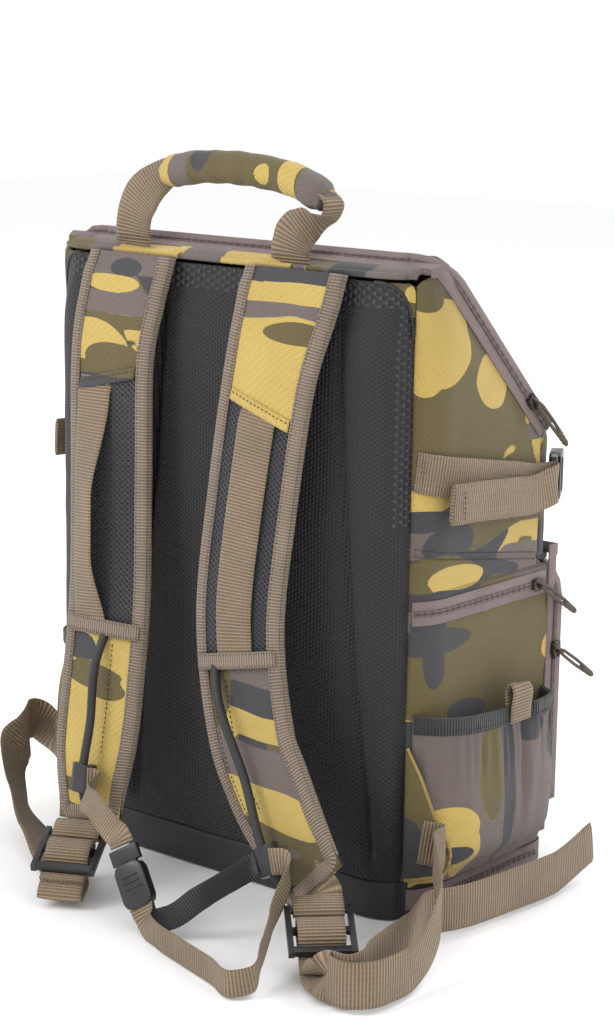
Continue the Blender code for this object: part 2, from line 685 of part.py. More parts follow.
def build_shoulder_webbing(side, frames, lock, webbing, pivot):
    """Webbing down the face of the pad, ending in the loop that holds the lock."""
    lift = PAD_THICKNESS / 2 + GAP + WEBBING / 2 + 0.0002
    used = [f for f in frames if f[0].z < 0.385]
    points = [point + outward * lift for point, along, across, outward in used]
    sides = [across for point, along, across, outward in used]
    end = used[-1]
    around = lock_points(lock, [(-0.0120, 0.0036), (0.0010, 0.0036), (0.0040, 0.0022), (0.0046, 0.0),
                                (0.0040, -0.0022), (0.0010, -0.0036), (-0.0080, -0.0036)])
    across_lock = (lock.to_3x3() @ Vector((0, -1, 0))).normalized()
    points = points[:-1] + [end[0] + end[3] * (lift + 0.0022), end[0] + end[1] * 0.006 + end[3] * (lift + 0.0020)] + around
    sides = sides + [across_lock.lerp(sides[-1], 0.7)] + [across_lock] * len(around)
    ribbon(f"shoulder_webbing_{side}", points, sides, SHOULDER_WEBBING_WIDTH, WEBBING, webbing, pivot)


def build_cross_webbing(side, frames, webbing, pivot):
    point, along, across, outward = frame_at(frames, 0.195)
    lift = PAD_THICKNESS / 2 + 2 * GAP + 1.5 * WEBBING + 0.0006
    reach = PAD_WIDTH / 2 - 0.004
    points = [point + outward * lift + across * a for a in (-reach, 0, reach)]
    ribbon(f"cross_webbing_{side}", points, [along] * 3, 0.012, WEBBING, webbing, pivot)


def lock_frame(side):
    """Local X runs down the ladder lock, local Y across it, local Z out of its face."""
    if side == "left":
        centre, down, across = (-0.058, -0.186, 0.042), (0.47, -0.82, -0.33), (0.80, 0.55, 0)
    else:
        centre, down, across = (0.1735, -0.1755, 0.0365), (0.66, -0.66, -0.36), (0.70, 0.70, 0)
    down = Vector(down).normalized()
    across = Vector(across)
    across = (across - down * across.dot(down)).normalized()
    outward = down.cross(across).normalized()
    if outward.z < 0:
        outward = -outward
        across = -across
    return axes_matrix(centre, down, across, outward)


def build_ladder_lock(side, frame, plastic):
    """Two side rails joined by a round top bar, a middle bar and a curved lip."""
    pivot = frame.translation
    inner = SHOULDER_WEBBING_WIDTH / 2 + 0.0012
    outer = inner + 0.0042
    rails = []
    for sign in (-1, 1):
        edge = sorted((sign * inner, sign * outer))
        outline = [(-0.0035, edge[0]), (0.0445, edge[0]), (0.0445, edge[1]), (-0.0035, edge[1])]
        rails.append(prism("rail", outline, -0.0028, 0.0028, plastic, frame))
    across = frame.to_3x3() @ Vector((0, 1, 0))
    centre = frame.translation
    down = frame.to_3x3() @ Vector((1, 0, 0))
    face = frame.to_3x3() @ Vector((0, 0, 1))
    reach = inner + 0.002
    bars = [tube("bar", [centre - across * reach, centre + across * reach], 0.0022, plastic, (0, 0, 0), 10, face)]
    for near, far, low, high in ((0.0178, 0.0232, -0.0018, 0.0018), (0.0380, 0.0440, -0.0022, 0.0026)):
        outline = [(near, -reach), (far, -reach), (far, reach), (near, reach)]
        bars.append(prism("bar", outline, low, high, plastic, frame))
    lock = joined(f"ladder_lock_{side}", [rails[0], bars[0], bars[1], bars[2], rails[1]])
    lock.data.transform(Matrix.Translation(-pivot))
    lock.location = pivot


# --------------------------------------------------------------- sternum strap

def rail_ends(side, frames):
    offset = 0.004 if side == "left" else -0.020
    lift = PAD_THICKNESS / 2 + RAIL_STANDOFF
    ends = []
    for height in (0.186, 0.058):
        point, along, across, outward = frame_at(frames, height)
        if across.x < 0:
            across = -across
        ends.append(point + across * offset + outward * lift)
    return ends


def rail_frame(side, frames):
    """Local Z climbs the rail, local Y points out of the pad; origin at the slider."""
    top, bottom = rail_ends(side, frames)
    climb = (top - bottom).normalized()
    outward = (OUT_OF_BACK - climb * OUT_OF_BACK.dot(climb)).normalized()
    return axes_matrix(bottom + climb * 0.018, outward.cross(climb) * 1.0, outward, climb)


def build_rail_and_slider(side, frames, rubber, plastic, pivot):
    top, bottom = rail_ends(side, frames)
    tube(f"sternum_rail_{side}", [bottom, (top + bottom) / 2, top], RAIL_RADIUS, rubber, pivot, 8, OUT_OF_BACK)
    frame = rail_frame(side, frames)
    bore = RAIL_RADIUS + 0.0005
    slot = 0.0020
    hole = [(bore * math.sin(math.radians(t)), bore * math.cos(math.radians(t))) for t in range(-135, 136, 45)]
    outer = [(slot, -0.0044), (0.008, -0.0044), (0.0105, -0.001), (0.0105, 0.004), (0.006, 0.007),
             (-0.006, 0.007), (-0.0105, 0.004), (-0.0105, -0.001), (-0.008, -0.0044), (-slot, -0.0044)]
    outline = [(x, y) for x, y in outer] + [(x, y) for x, y in hole]
    outline = outline[::-1]
    prism(f"sternum_slider_{side}", outline, -0.011, 0.011, plastic, frame, frame.translation)
    return frame


def build_sternum_strap(left, right, webbing, elastic, plastic):
    down = Vector((0.58, -0.16, -0.80)).normalized()
    start = Vector((0.018, -0.211, 0.056))
    width_axis = (Vector((0.8, 0.35, 0.52)) - down * Vector((0.8, 0.35, 0.52)).dot(down)).normalized()
    face = down.cross(width_axis).normalized()
    if face.y > 0:
        face = -face
        width_axis = -width_axis
    frame = axes_matrix(start, down, width_axis, face)
    build_side_release_buckle("sternum_buckle_{}", frame, 0.024, 0.0, plastic)
    upright = width_axis if width_axis.z > 0 else -width_axis
    join = left @ Vector((-0.0140, 0.003, 0.0))
    points = smooth_path([join, (-0.048, -0.187, 0.076), (-0.022, -0.203, 0.077), (0.004, -0.2105, 0.066),
                          frame @ Vector((-0.0070, 0, 0.0034)), frame @ Vector((-0.0022, 0, 0.0034))], 2)
    sides = turned_sides(Vector((0.1, 0, 1)), upright, len(points))
    ribbon("sternum_webbing", points, sides, STERNUM_WIDTH, WEBBING, webbing, start)
    near_slider = right @ Vector((0.0125, 0.003, 0.002))
    exit_points = [frame @ Vector((0.0500, 0, 0.0015)), frame @ Vector((0.0560, 0, 0.0012))]
    points = smooth_path(exit_points + [(0.066, -0.216, 0.015), (0.086, -0.205, 0.032), near_slider], 2)
    sides = turned_sides(upright, Vector((-0.4, 0.1, 0.9)), len(points))
    ribbon("sternum_elastic", points, sides, STERNUM_WIDTH - 0.002, WEBBING, elastic, start)
    height = STERNUM_WIDTH / 2 + 0.0015
    loop = [frame @ Vector((0.0500, 0, 0.0058)), frame @ Vector((0.0560, 0, 0.0066)), (0.074, -0.238, height),
            (0.110, -0.250, height), (0.150, -0.262, height), (0.174, -0.270, height),
            (0.183, -0.260, height + 0.002), (0.172, -0.236, height + 0.010), (0.157, -0.208, height + 0.022),
            right @ Vector((-0.0185, 0.006, -0.007))]
    points = smooth_path(loop, 2)
    sides = turned_sides(upright, UP, 4) + [UP] * (len(points) - 4)
    ribbon("sternum_loop", points, sides, STERNUM_WIDTH, WEBBING, webbing, start)


# ------------------------------------------------------------------- assembly

def build_harness(camo, webbing, elastic, rubber, plastic):
    pivot = Vector((0, BACK_Y - 0.0085, 0.472))
    locks = {}
    sliders = {}
    for side, sign in SIDES:
        frames = pad_frames(side)
        locks[side] = lock_frame(side)
        build_pad(side, frames, camo, pivot)
        build_shoulder_webbing(side, frames, locks[side], webbing, pivot)
        build_cross_webbing(side, frames, webbing, pivot)
        build_ladder_lock(side, locks[side], plastic)
        sliders[side] = build_rail_and_slider(side, frames, rubber, plastic, pivot)
    build_sternum_strap(sliders["left"], sliders["right"], webbing, elastic, plastic)
    build_lower_webbing(locks, webbing)


def build():
    clear_scene()
    camo = make_material("camo_fabric", (0.26, 0.23, 0.13), 0.85)
    mesh_fabric = make_material("air_mesh", (0.02, 0.02, 0.02), 0.9)
    coated = make_material("coated_base", (0.03, 0.03, 0.03), 0.6)
    lining = make_material("lining", (0.05, 0.05, 0.05), 0.8)
    foam = make_material("foam", (0.10, 0.10, 0.10), 0.95)
    board = make_material("stiffener_board", (0.20, 0.20, 0.20), 0.6)
    webbing = make_material("khaki_webbing", (0.22, 0.17, 0.10), 0.8)
    elastic = make_material("black_elastic", (0.02, 0.02, 0.02), 0.85)
    tape = make_material("zipper_tape", (0.25, 0.19, 0.18), 0.8)
    plastic = make_material("black_acetal", (0.02, 0.02, 0.02), 0.4)
    rubber = make_material("rubber_rail", (0.03, 0.03, 0.03), 0.6)
    painted = make_material("painted_slider", (0.12, 0.10, 0.09), 0.4, 0.8)
    cord = make_material("pull_cord", (0.14, 0.10, 0.06), 0.8)
    build_back(lining, mesh_fabric, foam, board)
    build_base(coated, tape)
    build_side_panels(camo)
    build_shelf(lining)
    build_upper_front(camo)
    build_top_strip(camo)
    build_lid(camo, tape)
    build_front_pocket(camo, tape)
    build_side_zippers(tape)
    build_sliders(painted, cord)
    build_side_pockets(camo, elastic)
    build_wings(camo)
    build_side_straps(webbing, plastic)
    build_handle(webbing, camo)
    build_harness(camo, webbing, elastic, rubber, plastic)


build()
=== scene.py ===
"""Tackle backpack: the sewn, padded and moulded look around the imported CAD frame."""

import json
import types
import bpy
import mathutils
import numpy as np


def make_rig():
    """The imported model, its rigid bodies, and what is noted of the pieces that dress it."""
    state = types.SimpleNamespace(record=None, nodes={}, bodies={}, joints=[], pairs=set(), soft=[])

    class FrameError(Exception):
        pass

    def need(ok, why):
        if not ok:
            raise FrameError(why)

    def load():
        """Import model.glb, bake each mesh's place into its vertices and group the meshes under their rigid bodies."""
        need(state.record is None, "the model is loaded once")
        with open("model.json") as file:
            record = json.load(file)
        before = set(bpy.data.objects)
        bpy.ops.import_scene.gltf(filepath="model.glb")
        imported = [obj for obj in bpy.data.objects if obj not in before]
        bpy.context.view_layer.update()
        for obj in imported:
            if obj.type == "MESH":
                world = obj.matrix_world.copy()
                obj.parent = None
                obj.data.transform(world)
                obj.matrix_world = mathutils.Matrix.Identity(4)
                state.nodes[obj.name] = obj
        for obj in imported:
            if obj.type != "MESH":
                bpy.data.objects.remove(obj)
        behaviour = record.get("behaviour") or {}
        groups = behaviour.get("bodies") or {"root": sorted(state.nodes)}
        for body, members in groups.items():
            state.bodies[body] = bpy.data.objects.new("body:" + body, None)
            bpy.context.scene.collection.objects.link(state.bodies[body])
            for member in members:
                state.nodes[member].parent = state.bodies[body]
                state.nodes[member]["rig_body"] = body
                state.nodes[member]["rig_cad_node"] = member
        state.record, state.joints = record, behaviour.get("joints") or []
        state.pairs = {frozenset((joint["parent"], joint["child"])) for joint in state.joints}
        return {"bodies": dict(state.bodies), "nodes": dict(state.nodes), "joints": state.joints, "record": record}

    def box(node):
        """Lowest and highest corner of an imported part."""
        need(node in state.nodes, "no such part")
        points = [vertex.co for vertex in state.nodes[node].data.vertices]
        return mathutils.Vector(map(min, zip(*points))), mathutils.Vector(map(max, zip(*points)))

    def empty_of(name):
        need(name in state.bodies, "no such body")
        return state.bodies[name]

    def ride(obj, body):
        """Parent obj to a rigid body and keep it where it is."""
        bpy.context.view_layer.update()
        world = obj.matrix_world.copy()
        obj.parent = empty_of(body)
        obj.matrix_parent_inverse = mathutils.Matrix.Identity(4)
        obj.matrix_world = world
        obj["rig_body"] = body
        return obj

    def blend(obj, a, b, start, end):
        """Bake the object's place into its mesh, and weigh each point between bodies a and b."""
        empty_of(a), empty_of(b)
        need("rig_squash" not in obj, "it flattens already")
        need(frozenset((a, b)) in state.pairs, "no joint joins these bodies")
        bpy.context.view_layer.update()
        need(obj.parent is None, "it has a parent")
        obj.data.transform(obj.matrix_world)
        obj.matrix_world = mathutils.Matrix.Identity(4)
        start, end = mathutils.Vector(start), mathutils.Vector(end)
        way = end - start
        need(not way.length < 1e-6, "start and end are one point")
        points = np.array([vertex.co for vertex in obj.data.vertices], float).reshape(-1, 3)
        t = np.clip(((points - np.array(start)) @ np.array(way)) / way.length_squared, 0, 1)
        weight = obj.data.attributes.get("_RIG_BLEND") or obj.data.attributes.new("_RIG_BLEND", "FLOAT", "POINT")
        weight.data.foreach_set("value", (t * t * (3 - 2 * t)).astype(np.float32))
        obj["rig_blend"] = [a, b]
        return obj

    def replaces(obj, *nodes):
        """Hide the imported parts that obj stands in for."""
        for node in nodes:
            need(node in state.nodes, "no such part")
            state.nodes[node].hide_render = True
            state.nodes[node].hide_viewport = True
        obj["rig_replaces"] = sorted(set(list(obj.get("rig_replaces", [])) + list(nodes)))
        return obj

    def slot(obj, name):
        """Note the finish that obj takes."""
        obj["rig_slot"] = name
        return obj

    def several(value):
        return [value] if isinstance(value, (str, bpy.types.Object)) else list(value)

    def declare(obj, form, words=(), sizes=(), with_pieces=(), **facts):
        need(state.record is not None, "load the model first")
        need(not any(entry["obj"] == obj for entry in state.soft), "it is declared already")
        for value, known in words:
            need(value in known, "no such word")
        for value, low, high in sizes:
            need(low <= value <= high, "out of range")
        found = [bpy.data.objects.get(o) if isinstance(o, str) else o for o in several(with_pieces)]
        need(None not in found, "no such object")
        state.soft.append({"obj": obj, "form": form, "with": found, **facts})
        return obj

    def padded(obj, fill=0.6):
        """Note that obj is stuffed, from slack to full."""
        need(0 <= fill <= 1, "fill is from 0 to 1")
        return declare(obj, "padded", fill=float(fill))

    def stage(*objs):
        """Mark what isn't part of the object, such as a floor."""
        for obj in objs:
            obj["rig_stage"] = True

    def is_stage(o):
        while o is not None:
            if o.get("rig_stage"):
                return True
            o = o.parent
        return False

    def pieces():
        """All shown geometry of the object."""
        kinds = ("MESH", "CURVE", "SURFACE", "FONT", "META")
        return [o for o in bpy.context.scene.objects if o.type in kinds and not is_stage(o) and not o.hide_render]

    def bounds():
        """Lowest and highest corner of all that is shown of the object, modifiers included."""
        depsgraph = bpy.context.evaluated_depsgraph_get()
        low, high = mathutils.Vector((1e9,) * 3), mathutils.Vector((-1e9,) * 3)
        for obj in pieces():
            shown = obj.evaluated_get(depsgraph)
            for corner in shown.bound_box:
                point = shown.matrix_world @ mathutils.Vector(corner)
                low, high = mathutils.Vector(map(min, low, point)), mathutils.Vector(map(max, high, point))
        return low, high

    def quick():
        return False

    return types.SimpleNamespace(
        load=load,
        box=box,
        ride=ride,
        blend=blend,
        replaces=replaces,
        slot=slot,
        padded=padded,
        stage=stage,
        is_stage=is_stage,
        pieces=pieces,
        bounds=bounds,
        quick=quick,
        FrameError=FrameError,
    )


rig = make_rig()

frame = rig.load()
cad_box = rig.bounds()

import json
import math

import bmesh
import bpy
from mathutils import Matrix, Vector, noise

# Sizes shared with the CAD model, in metres
HALF_WIDTH = 0.184
BACK_Y = -0.090
FRONT_Y = 0.094
BASE_HEIGHT = 0.030
BACK_TOP_Z = 0.478
RIDGE_Y = -0.060
RIDGE_Z = 0.486
HINGE_Z = 0.335
SHELF_Z = 0.250
FRONT_RADIUS = 0.025
SIDE_SEAM_BACK = 0.282
SIDE_SEAM_FRONT = 0.253
PAD_WIDTH = 0.082
PAD_THICKNESS = 0.012
WEBBING = 0.0016
SHOULDER_WEBBING_WIDTH = 0.038
SIDE_STRAP_WIDTH = 0.030
SIDE_STRAP_BACK_Z = 0.340
SIDE_STRAP_FRONT_Z = 0.316
STERNUM_WIDTH = 0.020
HANDLE_HALF_SPACING = 0.0775
HANDLE_Y = -0.079
BUCKLE_TURN = math.radians(30)
# Heights of the camouflage section's lower hem at the outer and inner edge of each pad.
HEM_Z = {"left": (0.372, 0.389), "right": (0.366, 0.382)}
CROSS_BAR_Z = 0.195
# Radius of the soft upright corners towards the back
BACK_ROUND = 0.042
# Width of the webbing between the wings and the ladder locks
LOWER_WEBBING_WIDTH = SHOULDER_WEBBING_WIDTH - 0.004
# How far the zipper coils stand out of the body they close
COIL_LIFT = 0.0021
COIL_SPREAD = 0.0011
SIDE_ZIPPER_Z = 0.235
BASE_ZIPPER_Z = 0.016
# Shares across a short row of stitches
ROW_SHARES = (-1, -0.5, 0, 0.5, 1)

noise.seed_set(7)
UP = Vector((0, 0, 1))
OUT_OF_BACK = Vector((0, -1, 0))
SIDES = (("left", -1), ("right", 1))


def linear(red, green, blue):
    """A colour given on the 0 to 255 screen scale, as the shader wants it."""
    shares = [c / 255 for c in (red, green, blue)]
    return [c / 12.92 if c <= 0.04045 else ((c + 0.055) / 1.055) ** 2.4 for c in shares] + [1.0]


OCHRE = linear(196, 168, 88)
OLIVE = linear(96, 84, 44)
MAUVE = linear(106, 94, 90)
CHARCOAL = linear(58, 58, 62)
KHAKI = linear(142, 121, 96)
TAUPE = linear(142, 124, 108)
TAPE_MAUVE = linear(146, 126, 124)
BLACK_MESH = linear(17, 17, 20)
BLACK_PLASTIC = linear(26, 26, 28)
BROWN_CORD = linear(92, 76, 56)


# ---------------------------------------------------------------- materials

class Paint:
    """One material's node tree, with short calls for the nodes used here."""

    def __init__(self, name, roughness, metallic=0.0, sheen=0.0, coat=0.0):
        self.material = bpy.data.materials.new(name)
        self.material.use_nodes = True
        self.tree = self.material.node_tree
        self.shader = self.tree.nodes["Principled BSDF"]
        self.shader.inputs["Metallic"].default_value = metallic
        self.shader.inputs["Roughness"].default_value = roughness
        self.shader.inputs["Sheen Weight"].default_value = sheen
        self.shader.inputs["Sheen Roughness"].default_value = 0.5
        self.shader.inputs["Coat Weight"].default_value = coat
        where = self.tree.nodes.new("ShaderNodeTexCoord")
        self.place = where.outputs["Object"]
        flat = self.tree.nodes.new("ShaderNodeSeparateXYZ")
        self.tree.links.new(where.outputs["UV"], flat.inputs[0])
        self.along = flat.outputs[0]
        self.across = flat.outputs[1]

    def put(self, socket, value):
        if isinstance(value, bpy.types.NodeSocket):
            self.tree.links.new(value, socket)
        else:
            socket.default_value = value

    def math(self, operation, *values):
        node = self.tree.nodes.new("ShaderNodeMath")
        node.operation = operation
        for socket, value in zip(node.inputs, values):
            self.put(socket, value)
        return node.outputs[0]

    def wave(self, coordinate, period, shift=0.0):
        """A sine from -1 to 1 along a coordinate in metres."""
        turned = self.math("MULTIPLY_ADD", coordinate, 2 * math.pi / period, shift)
        return self.math("SINE", turned)

    def span(self, value, low, high, to_low=0.0, to_high=1.0):
        node = self.tree.nodes.new("ShaderNodeMapRange")
        for socket, v in zip(node.inputs, (value, low, high, to_low, to_high)):
            self.put(socket, v)
        return node.outputs[0]

    def noise(self, scale, detail=2.0, roughness=0.5):
        node = self.tree.nodes.new("ShaderNodeTexNoise")
        self.put(node.inputs["Vector"], self.place)
        node.inputs["Scale"].default_value = scale
        node.inputs["Detail"].default_value = detail
        node.inputs["Roughness"].default_value = roughness
        return node.outputs[0]

    def mix(self, share, first, second):
        node = self.tree.nodes.new("ShaderNodeMix")
        node.data_type = "RGBA"
        self.put(node.inputs[0], share)
        self.put(node.inputs[6], first)
        self.put(node.inputs[7], second)
        return node.outputs[2]

    def scaled(self, colour, factor):
        """The colour made darker or lighter by a varying factor."""
        node = self.tree.nodes.new("ShaderNodeVectorMath")
        node.operation = "SCALE"
        self.put(node.inputs[0], colour if isinstance(colour, bpy.types.NodeSocket) else colour[:3])
        self.put(node.inputs["Scale"], factor)
        return node.outputs[0]

    def attribute(self, name):
        node = self.tree.nodes.new("ShaderNodeAttribute")
        node.attribute_name = name
        return node.outputs["Fac"]

    def finish(self, colour, height, distance, roughness=None):
        self.put(self.shader.inputs["Base Color"], colour)
        bump = self.tree.nodes.new("ShaderNodeBump")
        bump.inputs["Distance"].default_value = distance
        self.put(bump.inputs["Height"], height)
        self.put(self.shader.inputs["Normal"], bump.outputs[0])
        if roughness is not None:
            self.put(self.shader.inputs["Roughness"], roughness)
        return self.material


def oxford_weave(paint, period):
    """Heavy plain weave with a faint diagonal line, as a height from -1 to 1."""
    warp = paint.wave(paint.along, period)
    weft = paint.wave(paint.across, period)
    diagonal = paint.wave(paint.math("ADD", paint.along, paint.across), period * 1.5)
    crossed = paint.math("MULTIPLY", warp, weft)
    return paint.math("MULTIPLY_ADD", diagonal, 0.35, crossed)


def camo_fabric():
    """Printed oxford: the patch fields come from the mesh, the sharp edges from here."""
    paint = Paint("camo_oxford", 0.72, sheen=0.12)
    wobble = paint.math("MULTIPLY_ADD", paint.noise(260, 2), 0.012, -0.006)
    colour = OCHRE
    for field, patch in (("camo_olive", OLIVE), ("camo_mauve", MAUVE), ("camo_charcoal", CHARCOAL)):
        value = paint.math("ADD", paint.attribute(field), wobble)
        colour = paint.mix(paint.span(value, -0.006, 0.006), colour, patch)
    weave = oxford_weave(paint, 0.0021)
    # Painted highlight and painted shade: the weave height lightens the raised threads and darkens the hollows between
    # them.
    thread = paint.span(weave, -1.3, 1.3, 0.74, 1.16)
    worn = paint.span(paint.noise(22, 4), 0.25, 0.75, 0.92, 1.06)
    colour = paint.scaled(colour, paint.math("MULTIPLY", thread, worn))
    return paint.finish(colour, weave, 0.00025)


def ribbed_fabric(name, base, rib, depth, columns=0.0, roughness=0.75):
    """Narrow woven tape with ribs across its length; columns sets the width of its herringbone."""
    paint = Paint(name, roughness, sheen=0.15)
    along = paint.along
    if columns:
        fold = paint.math("PINGPONG", paint.across, columns)
        along = paint.math("MULTIPLY_ADD", fold, 0.55, along)
    ribs = paint.wave(along, rib)
    warp = paint.wave(paint.across, rib * 1.6)
    height = paint.math("MULTIPLY_ADD", warp, 0.12, ribs)
    shade = paint.span(height, -1.1, 1.1, 0.50, 1.26)
    faded = paint.span(paint.noise(30, 4), 0.25, 0.75, 0.86, 1.10)
    colour = paint.scaled(base, paint.math("MULTIPLY", shade, faded))
    return paint.finish(colour, height, depth)


def spacer_mesh(name, base, pitch, depth, hole_share, sheen):
    """Knitted mesh with staggered holes, from three waves at 60 degrees."""
    paint = Paint(name, 0.62, sheen=sheen)
    lean = paint.math("MULTIPLY", paint.across, 0.866)
    first = paint.wave(paint.along, pitch)
    second = paint.wave(paint.math("MULTIPLY_ADD", paint.along, 0.5, lean), pitch)
    third = paint.wave(paint.math("MULTIPLY_ADD", paint.along, -0.5, lean), pitch)
    total = paint.math("ADD", first, paint.math("ADD", second, third))
    cell = paint.span(total, -1.5 + hole_share, 1.8)
    yarn = paint.wave(paint.math("ADD", paint.along, paint.across), pitch / 4)
    shade = paint.math("MULTIPLY_ADD", yarn, 0.25, paint.span(cell, 0, 0.55, 0.02, 2.3))
    cloudy = paint.span(paint.noise(14, 3), 0.3, 0.7, 0.85, 1.15)
    colour = paint.scaled(base, paint.math("MULTIPLY", shade, cloudy))
    return paint.finish(colour, cell, depth)


def diamond_mesh():
    """Coarse open knit with shiny yarns crossing both ways."""
    paint = Paint("diamond_knit", 0.42, sheen=0.1)
    pitch = 0.0042
    lean = paint.math("MULTIPLY", paint.across, 0.7)
    rising = paint.wave(paint.math("ADD", paint.along, lean), pitch)
    falling = paint.wave(paint.math("SUBTRACT", paint.along, lean), pitch)
    crossing = paint.math("MAXIMUM", rising, falling)
    yarn = paint.wave(paint.along, pitch / 5)
    height = paint.math("MULTIPLY_ADD", yarn, 0.12, crossing)
    shade = paint.span(height, 0.1, 1.0, 0.25, 6.5)
    return paint.finish(paint.scaled(BLACK_MESH, shade), height, 0.0008)


def moulded(name, base, roughness, grain, coat=0.0):
    """Satin plastic or rubber with fine grain, scuffs and slightly dull patches."""
    paint = Paint(name, roughness, coat=coat)
    fine = paint.noise(grain, 3, 0.6)
    broad = paint.noise(60, 4, 0.6)
    colour = paint.scaled(base, paint.span(broad, 0.3, 0.7, 0.85, 1.25))
    rough = paint.span(broad, 0.3, 0.7, roughness - 0.08, roughness + 0.10)
    return paint.finish(colour, fine, 0.00012, rough)


def painted_metal():
    paint = Paint("painted_metal", 0.38, metallic=0.6, coat=0.3)
    wear = paint.noise(240, 5, 0.7)
    chip = paint.span(wear, 0.62, 0.68)
    colour = paint.mix(chip, linear(58, 50, 44), linear(130, 122, 112))
    return paint.finish(colour, wear, 0.00008, paint.span(wear, 0.3, 0.7, 0.30, 0.50))


def coated_cloth(name, base, roughness):
    """Smooth coated fabric whose weave only just shows through."""
    paint = Paint(name, roughness, coat=0.1)
    weave = oxford_weave(paint, 0.0011)
    scuffs = paint.noise(45, 5, 0.65)
    colour = paint.scaled(base, paint.span(scuffs, 0.3, 0.75, 0.8, 1.35))
    height = paint.math("MULTIPLY_ADD", scuffs, 1.5, paint.math("MULTIPLY", weave, 0.25))
    rough = paint.span(scuffs, 0.3, 0.7, roughness - 0.1, roughness + 0.12)
    return paint.finish(colour, height, 0.0003, rough)


def foam_block():
    paint = Paint("cell_foam", 0.9)
    cells = paint.noise(900, 3, 0.7)
    colour = paint.scaled(linear(70, 70, 72), paint.span(cells, 0.3, 0.7, 0.6, 1.3))
    return paint.finish(colour, cells, 0.0004)


CAMO = camo_fabric()
WEB = ribbed_fabric("khaki_webbing", KHAKI, 0.0025, 0.0006)
BINDING = ribbed_fabric("grosgrain_binding", TAUPE, 0.0023, 0.0006)
TAPE_CLOTH = ribbed_fabric("zipper_tape_cloth", TAPE_MAUVE, 0.0011, 0.0003, columns=0.0022)
COIL = ribbed_fabric("zipper_coil", linear(128, 108, 106), 0.0013, 0.0005, roughness=0.5)
ELASTIC = ribbed_fabric("ribbed_elastic", linear(38, 38, 42), 0.0022, 0.0007, roughness=0.6)
CORD_BRAID = ribbed_fabric("braided_cord", BROWN_CORD, 0.0021, 0.0006, columns=0.0020)
THREAD = ribbed_fabric("sewing_thread", linear(124, 108, 92), 0.0006, 0.0002)
DARK_THREAD = ribbed_fabric("dark_thread", linear(52, 50, 50), 0.0006, 0.0002)
PIPING = ribbed_fabric("ochre_piping", linear(178, 150, 84), 0.0012, 0.0003)
AIR_MESH = spacer_mesh("air_mesh", BLACK_MESH, 0.0030, 0.0012, 0.3, 0.05)
# The coarse mesh's base is lighter than the fine mesh's as painted light, offsetting the shade that the top strip
# casts on the band.
COARSE_MESH = spacer_mesh("coarse_air_mesh", linear(34, 34, 38), 0.0052, 0.0016, 1.1, 0.05)
KNIT = diamond_mesh()
PLASTIC = moulded("satin_plastic", BLACK_PLASTIC, 0.36, 1400, coat=0.15)
RUBBER = moulded("matt_rubber", linear(34, 34, 36), 0.55, 900)
METAL = painted_metal()
BASE_CLOTH = coated_cloth("coated_base_cloth", linear(27, 26, 29), 0.42)
LINING = coated_cloth("lining_cloth", linear(52, 52, 54), 0.6)
FOAM = foam_block()
BOARD = moulded("stiff_board", linear(120, 120, 118), 0.5, 400)


# ---------------------------------------------------------- mesh building

def make_mesh(name, points, faces, uvs, materials, slots=None, smooth=True):
    """A mesh with a UV map in metres and outward normals."""
    mesh = bpy.data.meshes.new(name)
    mesh.from_pydata(points, [], faces)
    layer = mesh.uv_layers.new(name="metres")
    loop = 0
    for face_uvs in uvs:
        for uv in face_uvs:
            layer.data[loop].uv = uv
            loop += 1
    for material in materials:
        mesh.materials.append(material)
    for i, polygon in enumerate(mesh.polygons):
        polygon.use_smooth = smooth
        polygon.material_index = slots[i] if slots else 0
    piece = bpy.data.objects.new(name, mesh)
    bpy.context.scene.collection.objects.link(piece)
    return piece


def fix_normals(piece):
    work = bmesh.new()
    work.from_mesh(piece.data)
    bmesh.ops.recalc_face_normals(work, faces=work.faces)
    work.to_mesh(piece.data)
    work.free()


def running_lengths(points):
    total = [0.0]
    for before, after in zip(points, points[1:]):
        total.append(total[-1] + (after - before).length)
    return total


def middle(ring):
    return sum(ring, Vector()) / len(ring)


def lofted(name, rings, materials, paint=None, closed=True, smooth=True):
    """Skin a run of rings. U runs along the rings and V round them, in metres."""
    count = len(rings[0])
    points = [p for ring in rings for p in ring]
    along = running_lengths([middle(ring) for ring in rings])
    widest = max(rings, key=lambda ring: (ring[0] - ring[count // 2]).length)
    across = running_lengths(widest + [widest[0]])
    faces = []
    uvs = []
    slots = []
    for i in range(len(rings) - 1):
        for k in range(count if closed else count - 1):
            n = (k + 1) % count
            faces.append((i * count + k, i * count + n, (i + 1) * count + n, (i + 1) * count + k))
            uvs.append([(along[i], across[k]), (along[i], across[k + 1]),
                        (along[i + 1], across[k + 1]), (along[i + 1], across[k])])
            slots.append(paint(i, k) if paint else 0)
    if closed:
        last = len(points) - count
        for start, ring in ((0, rings[0]), (last, rings[-1])):
            faces.append(tuple(range(start, start + count)))
            flat = ring[count // 2] - ring[0]
            side = flat.normalized() if flat.length else UP
            uvs.append([((p - ring[0]).dot(side), (p - ring[0]).length) for p in ring])
            slots.append(slots[0] if start == 0 else slots[-1])
    piece = make_mesh(name, points, faces, uvs, materials, slots, smooth)
    if closed:
        fix_normals(piece)
    return piece


def surface(name, rows, columns, place, material, flip=False):
    """An open sheet: place(u, v) gives a point for u and v from 0 to 1."""
    grid = [[Vector(place(c / columns, r / rows)) for c in range(columns + 1)] for r in range(rows + 1)]
    if flip:
        grid = [list(reversed(line)) for line in grid]
    wide = running_lengths(grid[rows // 2])
    tall = running_lengths([line[columns // 2] for line in grid])
    points = [p for line in grid for p in line]
    faces = []
    uvs = []
    for r in range(rows):
        for c in range(columns):
            a = r * (columns + 1) + c
            faces.append((a, a + 1, a + columns + 2, a + columns + 1))
            uvs.append([(wide[c], tall[r]), (wide[c + 1], tall[r]),
                        (wide[c + 1], tall[r + 1]), (wide[c], tall[r + 1])])
    return make_mesh(name, points, faces, uvs, [material])


